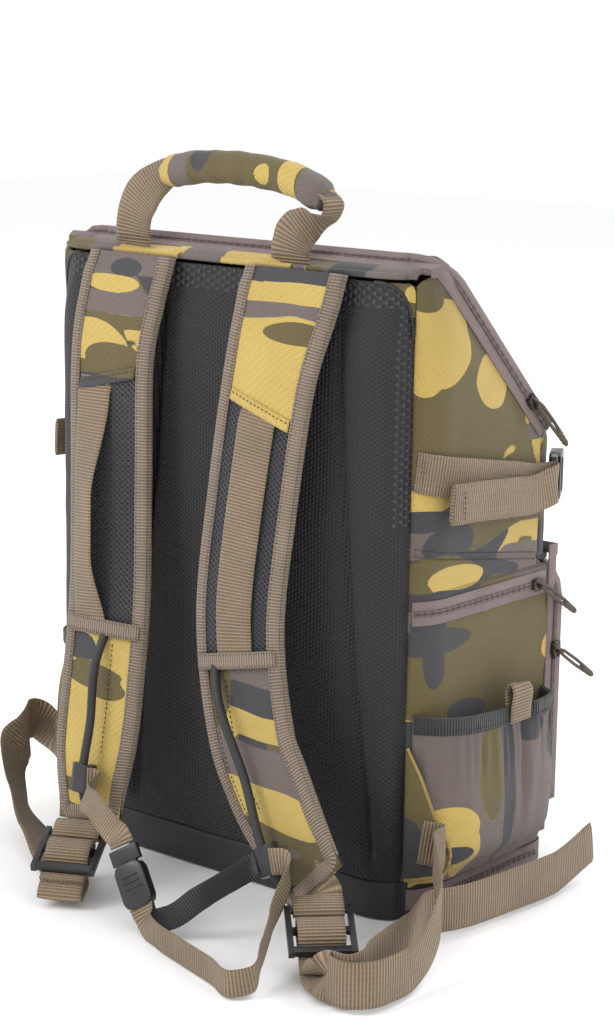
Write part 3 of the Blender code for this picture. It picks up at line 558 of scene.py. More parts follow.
def apply_modifiers(piece):
    bpy.context.view_layer.update()
    evaluated = piece.evaluated_get(bpy.context.evaluated_depsgraph_get())
    mesh = bpy.data.meshes.new_from_object(evaluated)
    old = piece.data
    piece.modifiers.clear()
    piece.data = mesh
    bpy.data.meshes.remove(old)


def thicken(piece, thickness):
    """Give an open sheet a back face, on the side its normals point away from."""
    solid = piece.modifiers.new("thickness", "SOLIDIFY")
    solid.thickness = thickness
    solid.offset = -1
    solid.use_rim = True
    apply_modifiers(piece)


def soften(piece, width, segments=2, angle=30):
    bevel = piece.modifiers.new("bevel", "BEVEL")
    bevel.width = width
    bevel.segments = segments
    bevel.limit_method = "ANGLE"
    bevel.angle_limit = math.radians(angle)
    apply_modifiers(piece)


def box_uv(piece):
    """UVs in metres from whichever plane each face is closest to."""
    mesh = piece.data
    if not mesh.uv_layers:
        mesh.uv_layers.new(name="metres")
    layer = mesh.uv_layers[0]
    for polygon in mesh.polygons:
        n = [abs(v) for v in polygon.normal]
        drop = n.index(max(n))
        keep = [axis for axis in (0, 1, 2) if axis != drop]
        for loop in polygon.loop_indices:
            co = mesh.vertices[mesh.loops[loop].vertex_index].co
            layer.data[loop].uv = (co[keep[0]], co[keep[1]])


def rounded_back(spot):
    """Ease a point near an upright back corner inwards, so that the filled bag looks soft."""
    flat_half = HALF_WIDTH - BACK_ROUND
    flat_depth = -BACK_Y - BACK_ROUND
    across = (abs(spot.x) - flat_half) / BACK_ROUND
    depth = (-spot.y - flat_depth) / BACK_ROUND
    if across <= 0 or depth <= 0:
        return spot
    pull = 1 - max(across, depth) / math.hypot(across, depth)
    pull = 1 - pull * (1 - ease(depth, 1.15, 2.2))
    return Vector((math.copysign(flat_half + BACK_ROUND * across * pull, spot.x),
                   -flat_depth - BACK_ROUND * depth * pull, spot.z))


def sliced_corners(piece):
    """Cut long faces near the upright back corners, so that they can follow the rounding."""
    work = bmesh.new()
    work.from_mesh(piece.data)
    cuts = [((0, BACK_Y + 0.005 * k, 0), (0, 1, 0)) for k in range(10)]
    for sign in (-1, 1):
        cuts += [((sign * (HALF_WIDTH - 0.006 * k), 0, 0), (1, 0, 0)) for k in range(8)]
    for spot, normal in cuts:
        geometry = list(work.verts) + list(work.edges) + list(work.faces)
        bmesh.ops.bisect_plane(work, geom=geometry, dist=1e-6, plane_co=spot, plane_no=normal)
    work.to_mesh(piece.data)
    work.free()


def round_piece(piece):
    for vertex in piece.data.vertices:
        vertex.co = rounded_back(vertex.co)


def attach(piece, body, nodes=(), slot=None):
    if body in ("bag", "lid") or body.startswith("side_strap"):
        round_piece(piece)
    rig.ride(piece, body)
    if nodes:
        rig.replaces(piece, *nodes)
    if slot:
        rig.slot(piece, slot)


def cad_copy(node, name, material, width, segments=2, slot=None):
    """The CAD node's own shape with rounded edges and a finished material."""
    source = frame["nodes"][node]
    piece = bpy.data.objects.new(name, source.data.copy())
    bpy.context.scene.collection.objects.link(piece)
    piece.data.materials.clear()
    piece.data.materials.append(material)
    work = bmesh.new()
    work.from_mesh(piece.data)
    bmesh.ops.remove_doubles(work, verts=work.verts, dist=1e-6)
    bmesh.ops.dissolve_limit(work, angle_limit=0.02, verts=work.verts, edges=work.edges)
    work.to_mesh(piece.data)
    work.free()
    soften(piece, width, segments)
    if source["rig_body"] in ("bag", "lid"):
        sliced_corners(piece)
    for polygon in piece.data.polygons:
        polygon.material_index = 0
        polygon.use_smooth = True
    box_uv(piece)
    attach(piece, source["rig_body"], [node], slot)


# ------------------------------------------------------------ runs and strips

def tangents(points):
    last = len(points) - 1
    return [(points[min(i + 1, last)] - points[max(i - 1, 0)]).normalized() for i in range(last + 1)]


def smooth_curve(points, step):
    """Evenly eased samples through points of any spacing, with no overshoot at short spans."""
    points = [Vector(p) for p in points]
    spans = [max((b - a).length, 1e-6) for a, b in zip(points, points[1:])]
    slopes = []
    for i in range(len(points)):
        if i == 0 or i == len(points) - 1:
            j = 0 if i == 0 else i - 1
            slopes.append((points[j + 1] - points[j]) / spans[j])
        else:
            before, after = spans[i - 1], spans[i]
            slopes.append(((points[i] - points[i - 1]) / before * after
                           + (points[i + 1] - points[i]) / after * before) / (before + after))
    samples = []
    for i, span in enumerate(spans):
        pieces = max(1, math.ceil(span / step))
        for k in range(pieces):
            t = k / pieces
            samples.append((i, t))
    samples.append((len(spans) - 1, 1.0))
    curve = []
    for i, t in samples:
        h00, h10 = 2 * t ** 3 - 3 * t ** 2 + 1, t ** 3 - 2 * t ** 2 + t
        h01, h11 = 3 * t ** 2 - 2 * t ** 3, t ** 3 - t ** 2
        curve.append(points[i] * h00 + slopes[i] * spans[i] * h10
                     + points[i + 1] * h01 + slopes[i + 1] * spans[i] * h11)
    return curve, samples


def smooth_run(controls, step=0.003):
    """(point, width direction) pairs eased through the given pairs."""
    curve, samples = smooth_curve([point for point, side in controls], step)
    sides = [Vector(side).normalized() for point, side in controls]
    run = []
    for point, (i, t) in zip(curve, samples):
        eased = t * t * (3 - 2 * t)
        run.append((point, sides[i].lerp(sides[i + 1], eased).normalized()))
    return run


def flat_section(width, thickness, cup=0.0, columns=8):
    """The cross-section of webbing as (across, out) pairs with rounded edges."""
    half = width / 2
    rise = thickness / 2
    shares = [-1 + 2 * c / columns for c in range(columns + 1)]
    top = [(s * half, rise * (1 if abs(s) < 0.99 else 0.35) + cup * s * s) for s in shares]
    bottom = [(s * half, -rise * (1 if abs(s) < 0.99 else 0.35) + cup * s * s) for s in reversed(shares)]
    return top + bottom


def swept(name, run, section, materials, paint=None):
    """Carry a section along a run; section may be a list or a function of the share along."""
    rings = []
    points = [point for point, side in run]
    for i, ((point, side), along) in enumerate(zip(run, tangents(points))):
        normal = along.cross(side).normalized()
        across = normal.cross(along)
        pairs = section(i / (len(run) - 1)) if callable(section) else section
        rings.append([point + across * a + normal * o for a, o in pairs])
    return lofted(name, rings, materials, paint)


def round_section(radius, count=10, flatten=1.0):
    turns = [2 * math.pi * k / count for k in range(count)]
    return [(radius * math.cos(t), radius * flatten * math.sin(t)) for t in turns]


def piping(name, points, radius, material, step=0.004, reference=UP):
    curve, _ = smooth_curve(points, step)
    run = []
    for point, along in zip(curve, tangents(curve)):
        side = along.cross(reference)
        if side.length < 0.1:
            side = along.cross(Vector((1, 0, 0)))
        run.append((point, side.normalized()))
    return swept(name, run, round_section(radius, 8), [material])


def stitches(name, lines, material=THREAD, length=0.0026, gap=0.0012, radius=0.00042):
    """Rows of separate thread stitches; each line is a list of (point, normal) pairs."""
    points = []
    faces = []
    for line in lines:
        spots = [p for p, n in line]
        runs = running_lengths(spots)
        at = gap
        k = 0
        while at + length < runs[-1]:
            ends = []
            for target in (at, at + length):
                while runs[k + 1] < target:
                    k += 1
                share = (target - runs[k]) / max(runs[k + 1] - runs[k], 1e-9)
                ends.append((spots[k].lerp(spots[k + 1], share), line[k][1]))
            k = max(k - 1, 0)
            (first, normal), (second, _) = ends
            along = (second - first).normalized()
            side = along.cross(normal).normalized()
            rise = normal * radius
            base = len(points)
            points.append(first - rise * 0.5)
            for share in (0.25, 0.75):
                mid = first.lerp(second, share)
                points.extend([mid + side * radius, mid + rise, mid - side * radius, mid - rise])
            points.append(second - rise * 0.5)
            for k4 in range(4):
                n4 = (k4 + 1) % 4
                faces.append((base, base + 1 + n4, base + 1 + k4))
                faces.append((base + 1 + k4, base + 1 + n4, base + 5 + n4, base + 5 + k4))
                faces.append((base + 9, base + 5 + k4, base + 5 + n4))
            at += length + gap
    uvs = [[(points[i].x + points[i].y, points[i].z) for i in face] for face in faces]
    piece = make_mesh(name, points, faces, uvs, [material])
    fix_normals(piece)
    return piece


# ----------------------------------------------------------------- camouflage

CAMO_LAYERS = ("camo_olive", "camo_mauve", "camo_charcoal")
CAMO_SHARES = (-0.02, 0.10, 0.19)


def patch_field(point, layer, stretch, seed):
    moved = Vector((point.x * stretch[0], point.y * stretch[1], point.z * stretch[2]))
    moved += Vector((3.7 * layer + seed, 11.3 * layer - seed, 5.9 * layer + 2 * seed))
    bent = moved + 0.35 * noise.noise_vector(moved * 1.7)
    return noise.noise(bent) + 0.12 * noise.noise(bent * 2.3) - CAMO_SHARES[layer]


def camouflage(piece, stretch=(13, 13, 21), seed=0.0, patches=()):
    """Store how deep each point lies in each printed colour; patches are (layer, centre, radii)."""
    mesh = piece.data
    fields = [[patch_field(v.co, layer, stretch, seed) for v in mesh.vertices] for layer in range(3)]
    for colour, centre, radii in patches:
        for v in mesh.vertices:
            away = Vector([(v.co[i] - centre[i]) / radii[i] for i in range(3)])
            away += 0.34 * noise.noise_vector(v.co * 24 + Vector((seed, 0, 0)))
            depth = (1 - away.length) * 0.5
            for layer in range(3):
                held = fields[layer][v.index]
                if layer == colour:
                    fields[layer][v.index] = max(held, depth)
                elif layer > colour:
                    fields[layer][v.index] = min(held, -depth)
    for name, values in zip(CAMO_LAYERS, fields):
        layer = mesh.attributes.new(name, "FLOAT", "POINT")
        layer.data.foreach_set("value", values)


# --------------------------------------------------------------- puffed cloth

def puffed(name, node, shrink, voxel, cap, pinned, filled=False):
    """Remesh a CAD solid and let cloth pressure swell it; pinned(point) says what stays put."""
    source = frame["nodes"][node]
    mesh = hull_of(source.data) if filled else source.data.copy()
    piece = bpy.data.objects.new(name, mesh)
    bpy.context.scene.collection.objects.link(piece)
    low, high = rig.box(node)
    centre = (low + high) / 2
    for vertex in piece.data.vertices:
        vertex.co = centre + (vertex.co - centre) * shrink
    remesh = piece.modifiers.new("voxels", "REMESH")
    remesh.mode = "VOXEL"
    remesh.voxel_size = voxel
    apply_modifiers(piece)
    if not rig.quick():
        swell(piece, cap, pinned)
    smooth = piece.modifiers.new("round", "SUBSURF")
    smooth.levels = 1
    apply_modifiers(piece)
    piece.data.materials.clear()
    piece.data.materials.append(CAMO)
    for polygon in piece.data.polygons:
        polygon.use_smooth = True
        polygon.material_index = 0
    return piece


def hull_of(mesh):
    """The outer shape of a hollow pan with its hollow filled."""
    work = bmesh.new()
    work.from_mesh(mesh)
    found = bmesh.ops.convex_hull(work, input=work.verts)
    skin = [item for item in found["geom"] if isinstance(item, bmesh.types.BMFace)]
    keep = set(skin)
    bmesh.ops.delete(work, geom=[f for f in work.faces if f not in keep], context="FACES")
    bmesh.ops.delete(work, geom=[v for v in work.verts if not v.link_faces], context="VERTS")
    filled = bpy.data.meshes.new("filled")
    work.to_mesh(filled)
    work.free()
    return filled


def swell(piece, cap, pinned):
    rest = [v.co.copy() for v in piece.data.vertices]
    group = piece.vertex_groups.new(name="pinned")
    group.add([i for i, co in enumerate(rest) if pinned(co)], 1.0, "REPLACE")
    cloth = piece.modifiers.new("cloth", "CLOTH")
    cloth.settings.vertex_group_mass = "pinned"
    cloth.settings.use_pressure = True
    cloth.settings.uniform_pressure_force = 14.0
    cloth.settings.effector_weights.gravity = 0.0
    cloth.settings.tension_stiffness = 25
    cloth.settings.compression_stiffness = 8
    scene = bpy.context.scene
    for step in range(1, 21):
        scene.frame_set(step)
    evaluated = piece.evaluated_get(bpy.context.evaluated_depsgraph_get())
    moved = [v.co.copy() for v in evaluated.data.vertices]
    piece.modifiers.clear()
    scene.frame_set(1)
    for vertex, start, end in zip(piece.data.vertices, rest, moved):
        shift = end - start
        if shift.length > cap:
            shift = shift.normalized() * cap
        vertex.co = start + shift


def creased(piece, depth, scale, seed=0.0):
    """Small handling wrinkles, pushed along the normals."""
    for vertex, normal in [(v, v.normal.copy()) for v in piece.data.vertices]:
        value = noise.noise(vertex.co * scale + Vector((seed, seed, seed)))
        ridge = 1 - abs(noise.noise(vertex.co * scale * 0.6 + Vector((seed, 9, 4)))) * 4
        vertex.co += normal * depth * (value + 0.5 * max(ridge, 0))
    piece.data.update()


# ------------------------------------------------------------ frames from CAD

def axes_matrix(origin, x_axis, y_axis, z_axis):
    rotation = Matrix((x_axis, y_axis, z_axis)).transposed().to_4x4()
    return Matrix.Translation(Vector(origin)) @ rotation


def slope_z(y):
    """Height of the plane the lid closes on."""
    return HINGE_Z + (FRONT_Y - y) * (RIDGE_Z - HINGE_Z) / (FRONT_Y - RIDGE_Y)


def lid_frame():
    climb = Vector((0, RIDGE_Y - FRONT_Y, RIDGE_Z - HINGE_Z)).normalized()
    across = Vector((-1, 0, 0))
    return axes_matrix((0, FRONT_Y, HINGE_Z), across, climb, across.cross(climb))


def wing_frame(sign):
    forward = Vector((sign * 0.5, 0.866, 0)).normalized()
    outward = Vector((sign * 0.866, -0.5, 0)).normalized()
    return axes_matrix((sign * (HALF_WIDTH + 0.0025), BACK_Y - 0.0005, 0), forward, UP, outward)


def buckle_frame(sign):
    forward = Vector((-sign * math.sin(BUCKLE_TURN), math.cos(BUCKLE_TURN), 0))
    outward = Vector((sign * math.cos(BUCKLE_TURN), math.sin(BUCKLE_TURN), 0))
    return axes_matrix((sign * 0.1935, 0.066, SIDE_STRAP_FRONT_Z), forward, UP, outward)


def lock_frame(side):
    if side == "left":
        centre, down, across = (-0.058, -0.186, 0.042), (0.47, -0.82, -0.33), (0.80, 0.55, 0)
    else:
        centre, down, across = (0.1735, -0.1755, 0.0365), (0.66, -0.66, -0.36), (0.70, 0.70, 0)
    down = Vector(down).normalized()
    across = Vector(across)
    across = (across - down * across.dot(down)).normalized()
    outward = down.cross(across).normalized()
    if outward.z < 0:
        outward = -outward
        across = -across
    return axes_matrix(centre, down, across, outward)


def pad_controls(side):
    """(x, distance in front of the back panel, z) down the middle of a pad."""
    if side == "left":
        return [(-0.083, 0.0085, 0.472), (-0.086, 0.014, 0.450), (-0.090, 0.022, 0.400),
                (-0.086, 0.028, 0.310), (-0.078, 0.038, 0.220), (-0.077, 0.047, 0.150),
                (-0.078, 0.053, 0.105), (-0.0695, 0.070, 0.044)]
    return [(0.079, 0.0085, 0.472), (0.076, 0.014, 0.450), (0.068, 0.022, 0.400),
            (0.058, 0.028, 0.310), (0.056, 0.038, 0.220), (0.074, 0.047, 0.145),
            (0.100, 0.055, 0.105), (0.160, 0.071, 0.046)]


def catmull(points, per_span):
    ends = [2 * points[0] - points[1]] + points + [2 * points[-1] - points[-2]]
    samples = []
    for i in range(1, len(ends) - 2):
        a, b, c, d = ends[i - 1:i + 3]
        for step in range(per_span):
            t = step / per_span
            samples.append(0.5 * (2 * b + (c - a) * t + (2 * a - 5 * b + 4 * c - d) * t ** 2
                                  + (3 * b - a - 3 * c + d) * t ** 3))
    samples.append(points[-1])
    return samples


def pad_frames(side, per_span=20):
    """(centre, along, across, outward) at samples down the pad."""
    points = catmull([Vector((x, BACK_Y - p, z)) for x, p, z in pad_controls(side)], per_span)
    frames = []
    for point, along in zip(points, tangents(points)):
        outward = (OUT_OF_BACK - along * OUT_OF_BACK.dot(along)).normalized()
        frames.append((point, along, outward.cross(along).normalized(), outward))
    return frames


def worn_frames(side):
    """The pad's frames carried up under the top strip, with the sewn top edge level."""
    frames = pad_frames(side)
    point, along, across, outward = frames[0]
    lead = [(point - along * 0.002 * k, along, across, outward) for k in (3, 2, 1)]
    levelled = []
    for i, (point, along, across, outward) in enumerate(lead + frames):
        level = Vector((1, 0, 0))
        levelled.append((point, along, level.lerp(across, ease(i, 0, 26)).normalized(), outward))
    return levelled


def frame_at(frames, height):
    for above, below in zip(frames, frames[1:]):
        if below[0].z <= height:
            share = (above[0].z - height) / (above[0].z - below[0].z)
            return [a.lerp(b, share) for a, b in zip(above, below)]
    return frames[-1]


def rail_ends(side, frames):
    offset = 0.004 if side == "left" else -0.020
    lift = PAD_THICKNESS / 2 + 0.008
    ends = []
    for height in (0.186, 0.058):
        point, along, across, outward = frame_at(frames, height)
        ends.append(point + across * offset + outward * lift)
    return ends


def rail_frame(side, frames):
    top, bottom = rail_ends(side, frames)
    climb = (top - bottom).normalized()
    outward = (OUT_OF_BACK - climb * OUT_OF_BACK.dot(climb)).normalized()
    return axes_matrix(bottom + climb * 0.018, outward.cross(climb), outward, climb)


def ease(value, low, high):
    t = min(max((value - low) / (high - low), 0.0), 1.0)
    return t * t * (3 - 2 * t)


def between(pairs, at):
    """Straight-line reading of (position, value) pairs in falling order of position."""
    for (high, first), (low, second) in zip(pairs, pairs[1:]):
        if at >= low:
            return first + (second - first) * min(max((high - at) / (high - low), 0), 1)
    return pairs[-1][1]


# ---------------------------------------------------------------- back panel

LEFT_VALLEY = ((0.474, -0.054), (0.366, -0.062), (0.205, -0.077), (0.030, -0.086))
RIGHT_VALLEY = ((0.474, 0.119), (0.400, 0.117), (0.210, 0.133), (0.090, 0.149), (0.030, 0.156))
CORNER_RADIUS = 0.008
MESH_CORNER = 0.036


def panel_relief(x, z):
    """How far the padded columns stand out of the flat back, with a groove between them."""
    left = between(LEFT_VALLEY, z)
    right = between(RIGHT_VALLEY, z)
    edges = (-HALF_WIDTH, left, right, HALF_WIDTH)
    crowns = (0.0085, 0.0072, 0.0080)
    calm = ease(0.470 - z, 0.0, 0.05) * ease(z, 0.030, 0.060)
    for low, high, crown in zip(edges, edges[1:], crowns):
        if low <= x <= high:
            share = (x - low) / (high - low)
            bulge = crown * (4 * share * (1 - share)) ** 0.55
            groove = min(x - low if low > -0.18 else 1, high - x if high < 0.18 else 1)
            return calm * (bulge - 0.0026 * (1 - ease(groove, 0, 0.008)))
    return 0.0


def back_panel_place(u, v):
    z = BASE_HEIGHT + 0.0005 + v * (BACK_TOP_Z - 0.0045 - BASE_HEIGHT)
    near_end = min(z - BASE_HEIGHT, BACK_TOP_Z - 0.004 - z)
    cut = CORNER_RADIUS - min(near_end, CORNER_RADIUS)
    half = HALF_WIDTH - 0.0005 - (CORNER_RADIUS - math.sqrt(CORNER_RADIUS ** 2 - cut ** 2)) * 0.9
    x = -half + 2 * half * u
    edge = ease(min(x + half, half - x), 0, 0.008)
    return (x, BACK_Y + 0.0012 - 0.0012 * edge - panel_relief(x, z) * edge, z)


def make_back_panel():
    panel = surface("back_mesh_cover", 150, 130, back_panel_place, AIR_MESH)
    panel.data.materials.append(COARSE_MESH)
    panel.data.materials.append(CAMO)
    camouflage(panel, (13, 15, 22), 2.0, MESH_CORNER_PATCHES)
    corner_x = HALF_WIDTH - MESH_CORNER
    corner_z = BACK_TOP_Z - 0.004 - MESH_CORNER
    for polygon in panel.data.polygons:
        x, _, z = polygon.center
        beyond = math.hypot(max(abs(x) - corner_x, 0), max(z - corner_z, 0))
        if beyond > MESH_CORNER:
            polygon.material_index = 2
        elif z > 0.456 or (abs(x) > 0.170 and z > 0.30):
            polygon.material_index = 1
    for side, sign in SIDES:
        arc = []
        for k in range(13):
            turn = math.radians(-4 + 98 * k / 12)
            x = sign * (corner_x + MESH_CORNER * math.cos(turn))
            z = corner_z + MESH_CORNER * math.sin(turn)
            arc.append(Vector((x, BACK_Y - panel_relief(x, z) - 0.0002, z)))
        attach(piping(f"back_mesh_corner_{side}", arc, 0.0013, ELASTIC, 0.002, OUT_OF_BACK), "bag")
    creased(panel, 0.0011, 22, 2.0)
    thicken(panel, 0.0022)
    attach(panel, "bag", ["back_mesh_panel"], "air_mesh")
    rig.padded(panel, fill=0.55)
    rows = []
    for valley in (LEFT_VALLEY, RIGHT_VALLEY):
        line = []
        for k in range(90):
            z = 0.440 - 0.0044 * k
            x = between(valley, z)
            line.append((Vector((x, BACK_Y - panel_relief(x, z) - 0.0003, z)), OUT_OF_BACK))
        rows.append(line)
    attach(stitches("back_mesh_seam_stitches", rows, DARK_THREAD), "bag")


# ---------------------------------------------------------------- side panels

def side_seam_z(y):
    share = (y - BACK_Y) / (FRONT_Y - BACK_Y)
    return SIDE_SEAM_BACK + share * (SIDE_SEAM_FRONT - SIDE_SEAM_BACK)


def side_edges(z):
    """Back and front y of the side panel at a height."""
    back = BACK_Y + 0.0033 + max(z - 0.474, 0) * 3.47
    if z < SHELF_Z - 0.0003:
        front = FRONT_Y - 0.0006
    elif z < 0.3598:
        front = FRONT_Y - FRONT_RADIUS - 0.0006
    else:
        front = FRONT_Y - (z - HINGE_Z) * 1.0199 - 0.0006
    return back, max(front, back + 0.0004)


def side_puff(y, z):
    """Outward swell of the side fabric; flat where a zipper, strap end or pocket lies on it."""
    back, front = side_edges(z)
    share = min(max((y - back) / (front - back), 0), 1)
    upper = ease(z, 0.262, 0.300) * ease(slope_z(y) - z, 0.012, 0.045)
    swell_out = 0.0042 * upper * (4 * share * (1 - share)) ** 0.7
    shoulder = 0.0016 * ease(z, 0.37, 0.44) * ease(slope_z(y) - z, 0.012, 0.03) * ease(share, 0.0, 0.2)
    seam = 0.0011 * (1 - ease(abs(z - side_seam_z(y)), 0.0, 0.0035))
    lower = 0.0010 * ease(z, 0.16, 0.175) * ease(0.222 - z, 0, 0.012)
    return swell_out + shoulder + lower - seam


def make_side_panel(side, sign):
    top = RIDGE_Z - 0.0045
    low = BASE_HEIGHT + 0.0005

    def place(u, v):
        z = low + v * (top - low)
        back, front = side_edges(z)
        y = back + u * (front - back)
        ripple = 0.0008 * noise.noise(Vector((sign * 3, y * 30, z * 22))) * ease(z, 0.262, 0.28)
        ripple *= ease(slope_z(y) - z, 0.010, 0.03)
        return (sign * (HALF_WIDTH + side_puff(y, z) + ripple), y, z)

    skin = surface(f"side_fabric_{side}", 150, 56, place, CAMO, flip=sign < 0)
    patches = RIGHT_SIDE_PATCHES if side == "right" else ()
    camouflage(skin, (13, 15, 22), 1.0 + sign, patches)
    thicken(skin, 0.0034)
    attach(skin, "bag", [f"side_panel_{side}"], "camo_fabric")
    rows = []
    for drop in (0.0028, -0.0024):
        line = []
        for k in range(70):
            y = -0.084 + 0.0022 * k
            z = side_seam_z(y) - drop
            x = sign * (HALF_WIDTH + side_puff(y, z) + 0.0003)
            line.append((Vector((x, y, z)), Vector((sign, 0, 0))))
        rows.append(line)
    attach(stitches(f"side_seam_stitches_{side}", rows, DARK_THREAD), "bag")


def front_plan(count=8):
    """Plan points of the upper front, right side round to left, with outward directions."""
    cx = HALF_WIDTH - FRONT_RADIUS
    cy = FRONT_Y - FRONT_RADIUS
    right = []
    for k in range(count + 1):
        turn = math.radians(90 * k / count)
        out = Vector((math.cos(turn), math.sin(turn), 0))
        right.append((Vector((cx, cy, 0)) + out * FRONT_RADIUS, out))
    flat = [(Vector((cx - 2 * cx * k / 60, FRONT_Y, 0)), Vector((0, 1, 0))) for k in range(1, 60)]
    left = [(Vector((-p.x, p.y, 0)), Vector((-o.x, o.y, 0))) for p, o in reversed(right)]
    return right + flat + left


def make_upper_front():
    plan = front_plan()
    low = SHELF_Z + 0.0056
    rings = []
    for spot, out in plan:
        high = slope_z(spot.y) - 0.0008
        ring = []
        for k in range(23):
            share = k / 22
            z = low + (high - low) * share
            puff = 0.0028 * ease(z, 0.2640, 0.278) * ease(high - z, 0.006, 0.020)
            puff *= ease(0.160 - abs(spot.x), 0, 0.03)
            ripple = 0.0006 * noise.noise(Vector((spot.x * 18, 7, z * 30))) * ease(z, 0.264, 0.275)
            ring.append(spot + out * (puff + ripple) + UP * z)
        rings.append(ring)
    band = lofted("upper_front_fabric", rings, [CAMO], closed=False)
    camouflage(band, (12, 12, 22), 5.0)
    if band.data.polygons[0].normal.dot(Vector((1, 0, 0))) < 0:
        band.data.flip_normals()
    thicken(band, 0.0034)
    attach(band, "bag", ["front_band"], "camo_fabric")


def make_top_strip():
    def place(u, v):
        x = -HALF_WIDTH + 2 * HALF_WIDTH * u
        y = BACK_Y + (RIDGE_Y - 0.0006 - BACK_Y) * v
        z = BACK_TOP_Z + 0.0004 + (RIDGE_Z - BACK_TOP_Z) * v
        handle = ease(abs(abs(x) - HANDLE_HALF_SPACING), 0.018, 0.030)
        tape = ease(RIDGE_Y - 0.0135 - y, 0.0, 0.004)
        crown = 0.0038 * handle * tape * (4 * min(v * 1.8, 1) * (1 - min(v * 1.8, 1))) ** 0.6
        return (x, y, z + crown)

    strip = surface("top_strip_fabric", 14, 90, place, CAMO)
    camouflage(strip, (15, 15, 20), 7.3, TOP_PATCHES)
    thicken(strip, 0.0034)
    attach(strip, "bag", ["top_strip"], "camo_fabric")
    edge = [Vector((x, BACK_Y - 0.0004, BACK_TOP_Z + 0.0010)) for x in (-0.172, -0.09, 0, 0.09, 0.172)]
    cord = piping("top_edge_piping", edge, 0.0024, CAMO)
    camouflage(cord, (15, 15, 20), 7.3, TOP_PATCHES)
    attach(cord, "bag")


# -------------------------------------------------------- lid and front pocket

def make_lid():
    placing = lid_frame().inverted()

    def sewn_down(spot):
        return (placing @ spot).z < 0.006

    lid = puffed("lid_cushion", "lid_panel", 0.985, 0.005, 0.007, sewn_down)
    box_uv(lid)
    reach = math.hypot(FRONT_Y - RIDGE_Y, RIDGE_Z - HINGE_Z)
    outward = lid_frame().to_3x3() @ UP
    for vertex in lid.data.vertices:
        spot = placing @ vertex.co
        sideways = max(1 - abs(spot.x / HALF_WIDTH) ** 5, 0)
        upward = min(max(spot.y / reach, 0), 1)
        lift = outward * 0.0070 * sideways * (4 * upward * (1 - upward)) ** 0.5
        vertex.co += lift * ease(spot.z, 0.004, 0.012)
    creased(lid, 0.0007, 26, 3.0)
    camouflage(lid, (11, 13, 17), 2.0)
    attach(lid, "lid", ["lid_panel"], "camo_fabric")
    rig.padded(lid, fill=0.5)
    back = lid_frame()
    half = HALF_WIDTH - 0.022
    hinge = [back @ Vector((x, 0.0010, 0.0040)) for x in (-half, -half / 2, 0, half / 2, half)]
    attach(piping("lid_hinge_binding", hinge, 0.0022, BINDING), "lid")


def make_front_pocket():
    """Swollen as a closed cushion, then opened at the back into a hollow pan."""

    def sewn_down(spot):
        return spot.y < FRONT_Y + 0.0115

    pocket = puffed("front_pocket_fabric", "front_pocket", 0.985, 0.005, 0.006, sewn_down, filled=True)
    work = bmesh.new()
    work.from_mesh(pocket.data)
    inner = [f for f in work.faces if f.calc_center_median().y < FRONT_Y + 0.0062]
    bmesh.ops.delete(work, geom=inner, context="FACES")
    for vertex in work.verts:
        if vertex.is_boundary:
            vertex.co.y = FRONT_Y + 0.0012
    work.to_mesh(pocket.data)
    work.free()
    low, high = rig.box("front_pocket")
    for vertex in pocket.data.vertices:
        sideways = 1 - abs(vertex.co.x / HALF_WIDTH) ** 5
        upward = (vertex.co.z - low.z) / (high.z - low.z)
        crown = max(sideways, 0) * max(4 * upward * (1 - upward), 0) ** 0.5
        vertex.co.y += 0.0085 * crown * ease(vertex.co.y - FRONT_Y, 0.012, 0.028)
    creased(pocket, 0.0008, 24, 8.0)
    camouflage(pocket, (11, 12, 19), 4.0)
    thicken(pocket, 0.0026)
    box_uv(pocket)
    attach(pocket, "front_pocket", ["front_pocket"], "camo_fabric")
    half = HALF_WIDTH - 0.034
    hinge = [Vector((x, FRONT_Y + 0.0035, low.z + 0.0016)) for x in (-half, -half / 2, 0, half / 2, half)]
    attach(piping("front_pocket_hinge_binding", hinge, 0.0019, BINDING), "front_pocket")


# -------------------------------------------------------------------- zippers

def coil_rows(name, path, bodies):
    """Two rows of zipper coil beside each other; path is (point, towards-first-row) pairs."""
    for body, sign in zip(bodies, (1, -1)):
        centres = [point + away * sign * COIL_SPREAD for point, away in path]
        spots, _ = smooth_curve(centres, 0.0008)
        rings = []
        for k, (spot, along) in enumerate(zip(spots, tangents(spots))):
            tooth = 0.00125 if k % 2 else 0.00085
            side = along.cross(UP if abs(along.z) < 0.9 else Vector((1, 0, 0))).normalized()
            rise = side.cross(along)
            rings.append([spot + side * tooth * math.cos(t) + rise * tooth * math.sin(t)
                          for t in (0, 1.05, 2.09, 3.14, 4.19, 5.24)])
        row = "upper" if sign > 0 else "lower"
        attach(lofted(f"{name}_{row}", rings, [COIL]), body, slot="zipper_tape")


def rim_path(length, radius, start):
    """(x, y) points up one side, over the far edge and down the other of a rounded flap."""
    half = HALF_WIDTH + COIL_LIFT
    top = length + COIL_LIFT
    steps = 12
    points = [(half, start + (top - radius - start) * k / steps) for k in range(steps)]
    for k in range(7):
        turn = math.radians(90 * k / 6)
        points.append((half - radius + radius * math.cos(turn), top - radius + radius * math.sin(turn)))
    points += [((half - radius) * (1 - k / steps), top) for k in range(1, steps)]
    return points + [(0, top)] + [(-x, y) for x, y in reversed(points)]


def flap_coil(name, matrix, length, radius, start, bodies):
    out = (matrix.to_3x3() @ UP).normalized()
    path = [(matrix @ Vector((x, y, 0.0001)), out) for x, y in rim_path(length, radius, start)]
    coil_rows(name, path, bodies)


